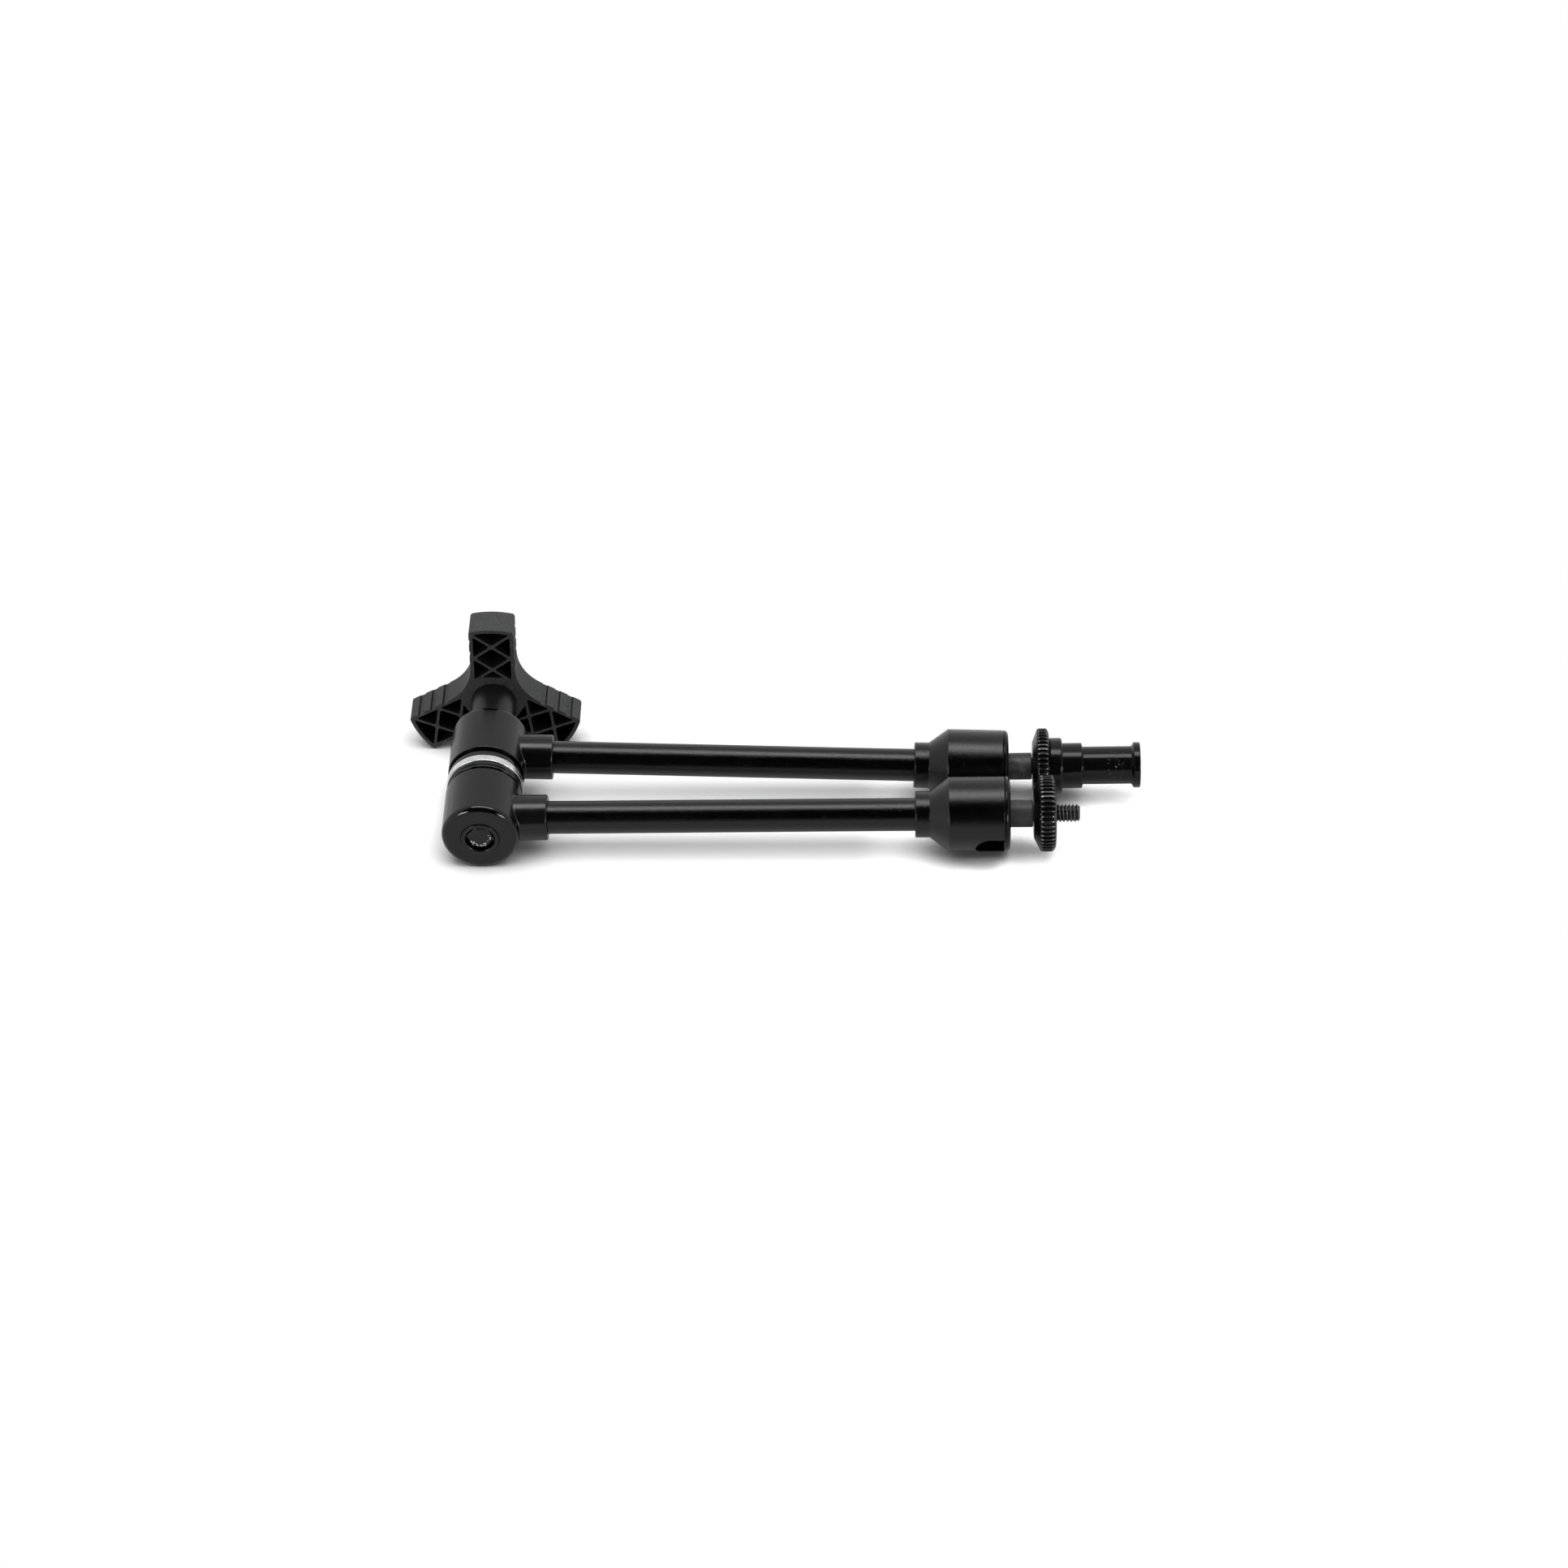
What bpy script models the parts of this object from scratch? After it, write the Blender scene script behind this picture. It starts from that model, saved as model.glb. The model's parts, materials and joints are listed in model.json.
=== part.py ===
"""Folding friction arm for cameras and lamps, folded flat on a table.

Two tubes meet at an elbow. Each free end has a ball joint: one ball carries a 1/4 inch screw, the
other a 16 mm spigot. One knob draws two cones together inside the elbow. They clamp the elbow and
push a rod down each tube against a cup behind each ball, so all three joints lock at once.

Along the pivot, positions count outward from the middle of the elbow. Along an arm, they count
from the pivot axis. The near arm is the one at -Y, the far arm carries the knob side at +Y.
"""

import math

import bmesh
import bpy
from mathutils import Matrix, Vector

MM = 0.001

# Gap kept between pieces that touch
CLEARANCE = 0.3 * MM

# Elbow stack, from the middle outward
WASHER_THICKNESS = 3.0 * MM
WASHER_RADIUS = 13.3 * MM
FRICTION_RING_WIDE = 2.4 * MM
FRICTION_RING_NECK = 1.3 * MM
FRICTION_RING_RADIUS = 13.1 * MM
FRICTION_NECK_RADIUS = 12.0 * MM
REGISTER_LENGTH = 2.5 * MM
SPRING_WELL_RADIUS = 5.5 * MM

# Elbow housings
HOUSING_RADIUS = 13.35 * MM
HOUSING_LENGTH = 22.0 * MM
HOUSING_NEAR_FILLET = 2.2 * MM
HOUSING_FAR_FILLET = 1.6 * MM
HOUSING_RIM_CHAMFER = 0.35 * MM
HOUSING_BORE_RADIUS = 8.3 * MM
HEAD_HOLE_RADIUS = 5.1 * MM
COUNTERSINK_RADIUS = 6.4 * MM
COUNTERSINK_DEPTH = 0.8 * MM
BOSS_RADIUS = 7.9 * MM
BOSS_REACH = 22.8 * MM
BOSS_FILLET = 0.8 * MM
BOSS_SOCKET_DEPTH = 9.0 * MM

# Wedge cones, draw bolt and spring
CONE_ANGLE = math.radians(20)
CONE_SMALL_RADIUS = 5.2 * MM
CONE_LENGTH = 10.3 * MM
CONE_BEFORE_ROD = 4.8 * MM
THREAD_PITCH = 1.0 * MM
LOOSENING_TURNS = 1.0
BOLT_RADIUS = 3.0 * MM
HEAD_LENGTH = 4.6 * MM
HEAD_ACROSS_FLATS = 8.0 * MM
HEAD_CHAMFER = 0.6 * MM
HEAD_DISH_RADIUS = 2.6 * MM
HEAD_DISH_DEPTH = 0.5 * MM
THRUST_WASHER_THICKNESS = 1.2 * MM
SPRING_WIRE_RADIUS = 0.5 * MM
SPRING_TURNS = 6.5

# Knob and its hub
HUB_RADIUS = 8.0 * MM
HUB_EXPOSED = 19.2 * MM
HUB_CHAMFER = 0.4 * MM
HUB_HEX_ACROSS_FLATS = 12.0 * MM
HUB_HEX_LENGTH = 8.0 * MM
BOLT_SHORT_OF_HEX = 2.0 * MM
KNOB_THICKNESS = 11.6 * MM
KNOB_FLOOR = 2.2 * MM
KNOB_RADIUS = 31.75 * MM
KNOB_PHASE = math.radians(0.9)
KNOB_LOBES = 3
LOBE_HALF_WIDTH = 7.9 * MM
LOBE_CORNER_RADIUS = 1.2 * MM
LOBE_VALLEY_RADIUS = 17.0 * MM
KNOB_WALL = 1.35 * MM
KNOB_BACK_FILLET = 1.0 * MM
KNOB_FRONT_FILLET = 0.35 * MM
GRIP_GROOVES = 3
GRIP_END_INSET = 5.75 * MM
GRIP_SPACING = 5.1 * MM
GRIP_WIDTH = 1.6 * MM
GRIP_DEPTH = 0.5 * MM
RIB_THICKNESS = 1.3 * MM
RIB_CROSSINGS = 2
RIB_START = 9.0 * MM
RIB_BASE_INSET = 1.5 * MM
RIB_END_INSET = 2.55 * MM
RIB_CORNER_RADIUS = 0.5 * MM

# Tubes and push rods
TUBE_RADIUS = 5.7 * MM
TUBE_WALL = 1.4 * MM
TUBE_EXPOSED = 126.5 * MM
ROD_RADIUS = 2.5 * MM

# Ball housings
COLLAR_RADIUS = 8.0 * MM
COLLAR_LENGTH = 5.0 * MM
COLLAR_CHAMFER = 0.4 * MM
BELL_RADIUS = 12.9 * MM
BELL_SHOULDER_LENGTH = 6.6 * MM
BELL_LENGTH = 19.0 * MM
BELL_SOCKET_DEPTH = 7.7 * MM
BELL_EDGE = 0.25 * MM
SLOT_HALF_WIDTH = 5.0 * MM
SLOT_DIRECTION = math.radians(-28)
SLOT_INNER_RADIUS = 6.5 * MM

# Balls, seats and retaining rings
BALL_RADIUS = 8.3 * MM
BALL_BEHIND_BELL_END = 5.0 * MM
SEAT_THICKNESS = 3.1 * MM
SEAT_RIM_RADIUS = 7.6 * MM
RETAINER_FLANGE = 1.7 * MM
RETAINER_FILLET = 1.5 * MM
RETAINER_REGISTER = 2.2 * MM
RETAINER_REGISTER_RADIUS = 10.0 * MM
RETAINER_SEAT_END = 4.9 * MM
RETAINER_MOUTH_RADIUS = 8.0 * MM

# Stems, lock wheels and spigot
STEM_RADIUS = 4.7 * MM
STEM_EXPOSED = 8.2 * MM
STEM_CHAMFER = 0.3 * MM
SCREW_RADIUS = 3.0 * MM
SCREW_EXPOSED = 8.9 * MM
SCREW_CHAMFER = 0.6 * MM
WHEEL_RADIUS = 13.15 * MM
WHEEL_TOOTH_DEPTH = 0.65 * MM
WHEEL_TEETH = 46
WHEEL_BACK_RADIUS = 8.8 * MM
WHEEL_BACK_CONE = 2.0 * MM
WHEEL_KNURL = 4.1 * MM
WHEEL_FRONT_CHAMFER = 0.8 * MM
SPIGOT_RADIUS = 7.95 * MM
SPIGOT_SHOULDER_RADIUS = 9.8 * MM
SPIGOT_SHOULDER_LENGTH = 3.5 * MM
SPIGOT_LAND_LENGTH = 7.2 * MM
SPIGOT_NECK_RADIUS = 6.6 * MM
SPIGOT_NECK_LENGTH = 17.8 * MM
SPIGOT_FLANGE_LENGTH = 2.6 * MM
SPIGOT_EDGE = 0.4 * MM

# How the joints lie at rest: the near arm a little raised, the far stem a little bent upward
NEAR_ARM_RAISED = math.radians(2.3)
FAR_STEM_RAISED = math.radians(2.6)

# Facets round a full turn
LARGE_ROUND = 32
SMALL_ROUND = 24
FINE_ROUND = 16

# Places along the pivot
FRICTION_RING_START = WASHER_THICKNESS / 2 + CLEARANCE
FRICTION_RING_END = FRICTION_RING_START + FRICTION_RING_WIDE + FRICTION_RING_NECK
HOUSING_START = FRICTION_RING_END + CLEARANCE
HOUSING_END = HOUSING_START + HOUSING_LENGTH
ARM_OFFSET = HOUSING_START + HOUSING_LENGTH / 2
CLAMP_TRAVEL = THREAD_PITCH * LOOSENING_TURNS / 2
CONE_START = ARM_OFFSET - CONE_BEFORE_ROD
CONE_END = CONE_START + CONE_LENGTH
CONE_LAND_RADIUS = HOUSING_BORE_RADIUS - CLEARANCE
END_WALL_START = CONE_END + CLEARANCE + CLAMP_TRAVEL
HEAD_START = CONE_END + CLEARANCE
THRUST_WASHER_START = CONE_END + CLEARANCE
HUB_START = THRUST_WASHER_START + THRUST_WASHER_THICKNESS + CLEARANCE
HUB_SHOULDER = HOUSING_END + HUB_EXPOSED
HUB_HEX_END = HUB_SHOULDER + HUB_HEX_LENGTH
KNOB_FRONT = HUB_SHOULDER + CLEARANCE
KNOB_BACK = KNOB_FRONT + KNOB_THICKNESS
BOLT_END = HUB_HEX_END - BOLT_SHORT_OF_HEX

# Places along an arm
BOSS_SOCKET_START = BOSS_REACH - BOSS_SOCKET_DEPTH
TUBE_START = BOSS_SOCKET_START + CLEARANCE
COLLAR_START = BOSS_REACH + TUBE_EXPOSED
COLLAR_END = COLLAR_START + COLLAR_LENGTH
BELL_START = COLLAR_END + BELL_SHOULDER_LENGTH
BELL_END = BELL_START + BELL_LENGTH
BELL_SOCKET_END = COLLAR_START + BELL_SOCKET_DEPTH
TUBE_END = BELL_SOCKET_END - CLEARANCE
BALL_CENTRE = BELL_END - BALL_BEHIND_BELL_END
CUP_RADIUS = BALL_RADIUS + CLEARANCE
SEAT_BACK = BALL_CENTRE - CUP_RADIUS - SEAT_THICKNESS
BELL_BORE_START = SEAT_BACK - CLEARANCE
ROD_END = SEAT_BACK - CLEARANCE
RETAINER_BACK = BELL_END + CLEARANCE
RETAINER_FRONT = RETAINER_BACK + RETAINER_FLANGE
WHEEL_BACK = RETAINER_FRONT + STEM_EXPOSED
WHEEL_FRONT = WHEEL_BACK + WHEEL_BACK_CONE + WHEEL_KNURL + WHEEL_FRONT_CHAMFER
STEM_END = WHEEL_BACK - CLEARANCE
SCREW_END = WHEEL_FRONT + SCREW_EXPOSED
SPIGOT_START = WHEEL_FRONT + CLEARANCE


def material(name, colour, metallic, roughness):
    """A Principled material."""
    made = bpy.data.materials.new(name)
    made.use_nodes = True
    shader = made.node_tree.nodes["Principled BSDF"]
    shader.inputs["Base Color"].default_value = (*colour, 1)
    shader.inputs["Metallic"].default_value = metallic
    shader.inputs["Roughness"].default_value = roughness
    made.diffuse_color = (*colour, 1)
    return made


def empty(name, parent=None, place=(0, 0, 0), turned_about_y=0.0):
    """A frame that pieces hang from."""
    frame = bpy.data.objects.new(name, None)
    frame.empty_display_size = 10 * MM
    frame.location = place
    frame.rotation_euler = (0, turned_about_y, 0)
    frame.parent = parent
    bpy.context.collection.objects.link(frame)
    return frame


def solid(name, bm, look, parent, place=(0, 0, 0)):
    """An object from a bmesh, with its normals out and its round faces smooth."""
    bmesh.ops.recalc_face_normals(bm, faces=bm.faces)
    mesh = bpy.data.meshes.new(name)
    bm.to_mesh(mesh)
    bm.free()
    mesh.shade_smooth()
    mesh.set_sharp_from_angle(angle=math.radians(32))
    if look:
        mesh.materials.append(look)
    piece = bpy.data.objects.new(name, mesh)
    piece.location = place
    piece.parent = parent
    bpy.context.collection.objects.link(piece)
    return piece


def arc(centre, height, radius, start, end, steps):
    """Points of an arc in an outline of (along, radius), from start to end in degrees."""
    points = []
    for step in range(steps + 1):
        angle = math.radians(start + (end - start) * step / steps)
        points.append((centre + radius * math.cos(angle), height + radius * math.sin(angle)))
    return points


def spun(outline, axis="X", sides=LARGE_ROUND):
    """A bmesh spun about an axis. An outline that starts and ends on the axis is left open there."""
    bm = bmesh.new()
    along = Vector((1, 0, 0)) if axis == "X" else Vector((0, 1, 0))
    verts = [bm.verts.new(along * place + Vector((0, 0, radius))) for place, radius in outline]
    pairs = list(zip(verts, verts[1:]))
    if outline[0][1] > 0:
        pairs.append((verts[-1], verts[0]))
    edges = [bm.edges.new(pair) for pair in pairs]
    bmesh.ops.spin(
        bm,
        geom=verts + edges,
        cent=(0, 0, 0),
        axis=along,
        angle=math.tau,
        steps=sides,
        use_merge=True,
    )
    bmesh.ops.remove_doubles(bm, verts=bm.verts, dist=0.0001 * MM)
    bm.normal_update()
    hubs = [
        vert
        for vert in bm.verts
        if (vert.co - along * vert.co.dot(along)).length < 0.0001 * MM
        and all(abs(face.normal.dot(along)) > 0.999 for face in vert.link_faces)
    ]
    bmesh.ops.dissolve_verts(bm, verts=hubs)
    return bm


def mirrored_outline(outline, side):
    """The same outline on the far side (1) or, mirrored, on the near side (-1) of the elbow."""
    return [(side * along, radius) for along, radius in outline]


def prism(outline, start, end):
    """A bmesh of an outline in X and Z, extruded along Y."""
    bm = bmesh.new()
    face = bm.faces.new([bm.verts.new((x, start, z)) for x, z in outline])
    grown = bmesh.ops.extrude_face_region(bm, geom=[face])
    moved = [item for item in grown["geom"] if isinstance(item, bmesh.types.BMVert)]
    bmesh.ops.translate(bm, verts=moved, vec=(0, end - start, 0))
    return bm


def combine(piece, tool, operation):
    """Boolean one object with another, which then only serves as a tool."""
    tool.hide_render = True
    tool.display_type = "WIRE"
    step = piece.modifiers.new(tool.name, "BOOLEAN")
    step.operation = operation
    step.solver = "EXACT"
    step.object = tool


def elbow_housing(name, side, end_outline, bore_end, look, parent):
    """A turned shell with a side boss. Its bore takes the cone, the boss takes the tube."""
    outline = [
        (HOUSING_START, 0),
        (HOUSING_START, HOUSING_RADIUS - HOUSING_RIM_CHAMFER),
        (HOUSING_START + HOUSING_RIM_CHAMFER, HOUSING_RADIUS),
        *end_outline,
    ]
    shell = solid(name, spun(mirrored_outline(outline, side), "Y"), look, parent)
    shell.location.y = -side * ARM_OFFSET
    boss_outline = [
        (0, 0),
        (0, BOSS_RADIUS),
        *arc(BOSS_REACH - BOSS_FILLET, BOSS_RADIUS - BOSS_FILLET, BOSS_FILLET, 90, 0, 3),
        (BOSS_REACH, 0),
    ]
    boss = solid(name + "_boss", spun(boss_outline), None, parent)
    combine(shell, boss, "UNION")
    bore_outline = [
        (HOUSING_START - 1 * MM, 0),
        (HOUSING_START - 1 * MM, HOUSING_BORE_RADIUS),
        (bore_end, HOUSING_BORE_RADIUS),
        (bore_end, 0),
    ]
    bore = solid(name + "_bore", spun(mirrored_outline(bore_outline, side), "Y"), None, parent)
    bore.location.y = -side * ARM_OFFSET
    combine(shell, bore, "DIFFERENCE")
    socket_radius = TUBE_RADIUS + CLEARANCE
    socket_outline = [
        (0, 0),
        (0, ROD_RADIUS + CLEARANCE),
        (BOSS_SOCKET_START, ROD_RADIUS + CLEARANCE),
        (BOSS_SOCKET_START, socket_radius),
        (BOSS_REACH + 1 * MM, socket_radius),
        (BOSS_REACH + 1 * MM, 0),
    ]
    socket = solid(name + "_socket", spun(socket_outline, sides=SMALL_ROUND), None, parent)
    combine(shell, socket, "DIFFERENCE")
    return shell


def near_elbow_housing(look, parent):
    """The closed housing, with the countersunk hole that shows the bolt head."""
    fillet = HOUSING_NEAR_FILLET
    end_outline = [
        *arc(HOUSING_END - fillet, HOUSING_RADIUS - fillet, fillet, 90, 0, 4),
        (HOUSING_END, 0),
    ]
    shell = elbow_housing("near_elbow_housing", -1, end_outline, END_WALL_START, look, parent)
    hole_outline = [
        (END_WALL_START - 1 * MM, 0),
        (END_WALL_START - 1 * MM, HEAD_HOLE_RADIUS),
        (HOUSING_END - COUNTERSINK_DEPTH, HEAD_HOLE_RADIUS),
        (HOUSING_END, COUNTERSINK_RADIUS),
        (HOUSING_END + 1 * MM, COUNTERSINK_RADIUS),
        (HOUSING_END + 1 * MM, 0),
    ]
    bm = spun(mirrored_outline(hole_outline, -1), "Y")
    hole = solid("near_elbow_housing_head_hole", bm, None, parent, (0, ARM_OFFSET, 0))
    combine(shell, hole, "DIFFERENCE")


def far_elbow_housing(look, parent):
    """The open housing, with the knob's hub in its bore."""
    fillet = HOUSING_FAR_FILLET
    end_outline = [
        *arc(HOUSING_END - fillet, HOUSING_RADIUS - fillet, fillet, 90, 0, 3),
        (HOUSING_END, 0),
    ]
    elbow_housing("far_elbow_housing", 1, end_outline, HOUSING_END + 1 * MM, look, parent)


def friction_ring(name, side, look, parent):
    """A stepped ring whose register centres it in the housing's bore."""
    register_radius = HOUSING_BORE_RADIUS - CLEARANCE
    neck_start = FRICTION_RING_START + FRICTION_RING_WIDE
    outline = [
        (FRICTION_RING_START, SPRING_WELL_RADIUS),
        (FRICTION_RING_START, FRICTION_RING_RADIUS),
        (neck_start, FRICTION_RING_RADIUS),
        (neck_start, FRICTION_NECK_RADIUS),
        (FRICTION_RING_END, FRICTION_NECK_RADIUS),
        (FRICTION_RING_END, register_radius),
        (FRICTION_RING_END + REGISTER_LENGTH, register_radius),
        (FRICTION_RING_END + REGISTER_LENGTH, SPRING_WELL_RADIUS),
    ]
    solid(name, spun(mirrored_outline(outline, side), "Y"), look, parent)


def elbow_washer(look, parent):
    """The bright washer between the friction rings."""
    edge = 0.3 * MM
    half = WASHER_THICKNESS / 2
    outline = [
        (-half, SPRING_WELL_RADIUS),
        (-half, WASHER_RADIUS - edge),
        (edge - half, WASHER_RADIUS),
        (half - edge, WASHER_RADIUS),
        (half, WASHER_RADIUS - edge),
        (half, SPRING_WELL_RADIUS),
    ]
    solid("elbow_washer", spun(outline, "Y"), look, parent)


def wedge_cone(name, side, look, parent):
    """A cone that slides in the bore and pushes the rod outward."""
    bore = BOLT_RADIUS + CLEARANCE
    flank = (CONE_LAND_RADIUS - CONE_SMALL_RADIUS) / math.tan(CONE_ANGLE)
    outline = [
        (CONE_START, bore),
        (CONE_START, CONE_SMALL_RADIUS),
        (CONE_START + flank, CONE_LAND_RADIUS),
        (CONE_END, CONE_LAND_RADIUS),
        (CONE_END, bore),
    ]
    solid(name, spun(mirrored_outline(outline, side), "Y", SMALL_ROUND), look, parent)


def hexagon(across_flats):
    """Corners of a hexagon in X and Z, with a flat on top."""
    radius = across_flats / 2 / math.cos(math.radians(30))
    turns = [math.radians(60 * corner) for corner in range(6)]
    return [(radius * math.cos(turn), radius * math.sin(turn)) for turn in turns]


def draw_bolt(look, parent):
    """The bolt through the elbow, its hexagon head dished and chamfered."""
    bm = prism(hexagon(HEAD_ACROSS_FLATS), -HEAD_START - HEAD_LENGTH, -HEAD_START)
    bolt = solid("draw_bolt", bm, look, parent)
    corner = HEAD_ACROSS_FLATS / 2 / math.cos(math.radians(30))
    head_end = HEAD_START + HEAD_LENGTH
    overlap = 0.5 * MM
    turning_outline = [
        (HEAD_START - overlap, 0),
        (HEAD_START - overlap, corner),
        (head_end - HEAD_CHAMFER, corner + 0.05 * MM),
        (head_end, HEAD_ACROSS_FLATS / 2 - 0.2 * MM),
        (head_end, HEAD_DISH_RADIUS),
        (head_end - HEAD_DISH_DEPTH, HEAD_DISH_RADIUS - HEAD_DISH_DEPTH),
        (head_end - HEAD_DISH_DEPTH, 0),
    ]
    bm = spun(mirrored_outline(turning_outline, -1), "Y")
    turning = solid("draw_bolt_head_turning", bm, None, parent)
    combine(bolt, turning, "INTERSECT")
    shank_outline = [
        (-HEAD_START - overlap, 0),
        (-HEAD_START - overlap, BOLT_RADIUS),
        (BOLT_END - overlap, BOLT_RADIUS),
        (BOLT_END, BOLT_RADIUS - overlap),
        (BOLT_END, 0),
    ]
    shank = solid("draw_bolt_shank", spun(shank_outline, "Y", FINE_ROUND), None, parent)
    combine(bolt, shank, "UNION")


def release_spring(look, parent):
    """The spring round the bolt that parts the cones when the knob is loosened."""
    coil_radius = (BOLT_RADIUS + SPRING_WELL_RADIUS) / 2
    end = CONE_START - CLEARANCE - SPRING_WIRE_RADIUS
    bm = bmesh.new()
    bmesh.ops.create_circle(bm, cap_ends=True, radius=SPRING_WIRE_RADIUS, segments=6)
    bmesh.ops.rotate(bm, verts=bm.verts, matrix=Matrix.Rotation(math.pi / 2, 3, "Y"))
    bmesh.ops.translate(bm, verts=bm.verts, vec=(0, -end, coil_radius))
    steps = int(SPRING_TURNS * 12)
    bmesh.ops.spin(
        bm,
        geom=bm.faces[:],
        cent=(0, 0, 0),
        axis=(0, 1, 0),
        dvec=(0, 2 * end / steps, 0),
        angle=math.tau * SPRING_TURNS,
        steps=steps,
    )
    solid("release_spring", bm, look, parent)


def thrust_washer(look, parent):
    """The plain washer between the turning hub and the far cone."""
    end = THRUST_WASHER_START + THRUST_WASHER_THICKNESS
    bore = BOLT_RADIUS + CLEARANCE
    outline = [
        (THRUST_WASHER_START, bore),
        (THRUST_WASHER_START, CONE_LAND_RADIUS),
        (end, CONE_LAND_RADIUS),
        (end, bore),
    ]
    solid("thrust_washer", spun(outline, "Y", SMALL_ROUND), look, parent)


def knob_hub(look, parent):
    """The threaded hub: a round sleeve into the housing and a hexagon moulded into the knob."""
    overlap = 1 * MM
    bm = prism(hexagon(HUB_HEX_ACROSS_FLATS), HUB_SHOULDER - overlap, HUB_HEX_END)
    hub = solid("knob_hub", bm, look, parent)
    sleeve_outline = [
        (HUB_START, 0),
        (HUB_START, HUB_RADIUS - HUB_CHAMFER),
        (HUB_START + HUB_CHAMFER, HUB_RADIUS),
        (HUB_SHOULDER - HUB_CHAMFER, HUB_RADIUS),
        (HUB_SHOULDER, HUB_RADIUS - HUB_CHAMFER),
        (HUB_SHOULDER, 0),
    ]
    sleeve = solid("knob_hub_sleeve", spun(sleeve_outline, "Y"), None, parent)
    combine(hub, sleeve, "UNION")
    bore = BOLT_RADIUS + CLEARANCE
    bore_outline = [
        (HUB_START - overlap, 0),
        (HUB_START - overlap, bore),
        (HUB_HEX_END + overlap, bore),
        (HUB_HEX_END + overlap, 0),
    ]
    drill = solid("knob_hub_bore", spun(bore_outline, "Y", FINE_ROUND), None, parent)
    combine(hub, drill, "DIFFERENCE")


def lobe_frame(lobe):
    """Directions out along a lobe and across it, in X and Z."""
    turn = math.radians(90) + KNOB_PHASE + math.tau * lobe / KNOB_LOBES
    out = Vector((math.cos(turn), math.sin(turn)))
    return out, Vector((-out.y, out.x))


def grip_grooves():
    """Outlines of the grooves across both sides of a lobe, as lists of (out, across) points."""
    slope = GRIP_DEPTH / 2
    outlines = []
    for groove in range(GRIP_GROOVES):
        middle = KNOB_RADIUS - GRIP_END_INSET - groove * GRIP_SPACING
        for side in (-1, 1):
            outside, floor = side * (LOBE_HALF_WIDTH + GRIP_DEPTH), side * (LOBE_HALF_WIDTH - GRIP_DEPTH)
            outlines.append([
                Vector((middle - GRIP_WIDTH / 2 - slope, outside)),
                Vector((middle - GRIP_WIDTH / 2 + slope, floor)),
                Vector((middle + GRIP_WIDTH / 2 - slope, floor)),
                Vector((middle + GRIP_WIDTH / 2 + slope, outside)),
            ])
    return outlines


def knob_outline():
    """The knob seen along its axis: three lobes with arcs at their ends and hollows between them."""
    corner = LOBE_CORNER_RADIUS
    aside = LOBE_HALF_WIDTH - corner
    centre = math.sqrt((KNOB_RADIUS - corner) ** 2 - aside**2)
    end_angle = math.atan2(aside, centre)
    flank = arc(centre, aside, corner, 90, math.degrees(end_angle), 3)
    half_turn = math.pi / KNOB_LOBES
    distance = (LOBE_HALF_WIDTH + LOBE_VALLEY_RADIUS) / math.sin(half_turn)
    last = math.degrees(2 * half_turn) - 270
    middle = (distance * math.cos(half_turn), distance * math.sin(half_turn))
    valley = arc(*middle, LOBE_VALLEY_RADIUS, -90, last, 8)
    outline = []
    for lobe in range(KNOB_LOBES):
        out, across = lobe_frame(lobe)
        outline += [out * u - across * v for u, v in flank]
        for share in (-0.5, 0, 0.5):
            turn = end_angle * share
            outline.append(KNOB_RADIUS * (out * math.cos(turn) + across * math.sin(turn)))
        outline += [out * u + across * v for u, v in reversed(flank)]
        outline += [out * u + across * v for u, v in valley]
    return outline


def clipped(polygon, point, inward):
    """The part of a convex polygon on the inward side of a line through a point."""
    kept = []
    for start, end in zip(polygon, polygon[1:] + polygon[:1]):
        before, after = (start - point).dot(inward), (end - point).dot(inward)
        if before >= 0:
            kept.append(start)
        if before * after < 0:
            kept.append(start.lerp(end, before / (before - after)))
    return kept


def rib_cells():
    """The openings of one lobe's lattice, as polygons of (out, across) points."""
    half_width = LOBE_HALF_WIDTH - KNOB_WALL
    half_height = (KNOB_RADIUS - RIB_END_INSET - RIB_START) / RIB_CROSSINGS / 2
    slant = Vector((half_height, half_width)).normalized()
    half_rib = RIB_THICKNESS / 2
    pocket = [
        Vector((0, -half_width)),
        Vector((KNOB_RADIUS, -half_width)),
        Vector((KNOB_RADIUS, half_width)),
        Vector((0, half_width)),
    ]
    for turn in (-10, 0, 10):
        outward = Vector((math.cos(math.radians(turn)), math.sin(math.radians(turn))))
        pocket = clipped(pocket, outward * (KNOB_RADIUS - KNOB_WALL), -outward)

    def beside(polygon, crossing, up, right):
        """Keep what lies above or below, and right or left of, the two ribs that cross."""
        centre = Vector((RIB_START + half_height * (2 * crossing + 1), 0))
        rising = Vector((slant.y, -slant.x)) * (1 if up else -1)
        falling = Vector((slant.y, slant.x)) * (1 if right else -1)
        polygon = clipped(polygon, centre + rising * half_rib, rising)
        return clipped(polygon, centre + falling * half_rib, falling)

    cells = []
    for crossing in range(RIB_CROSSINGS):
        cells.append(beside(pocket, crossing, True, False))
        cells.append(beside(pocket, crossing, False, True))
        below = beside(pocket, crossing, False, False)
        if crossing:
            below = beside(below, crossing - 1, True, True)
        else:
            below = clipped(below, Vector((RIB_START + RIB_BASE_INSET, 0)), Vector((1, 0)))
        cells.append(below)
    cells.append(beside(pocket, RIB_CROSSINGS - 1, True, True))
    return cells


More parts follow.
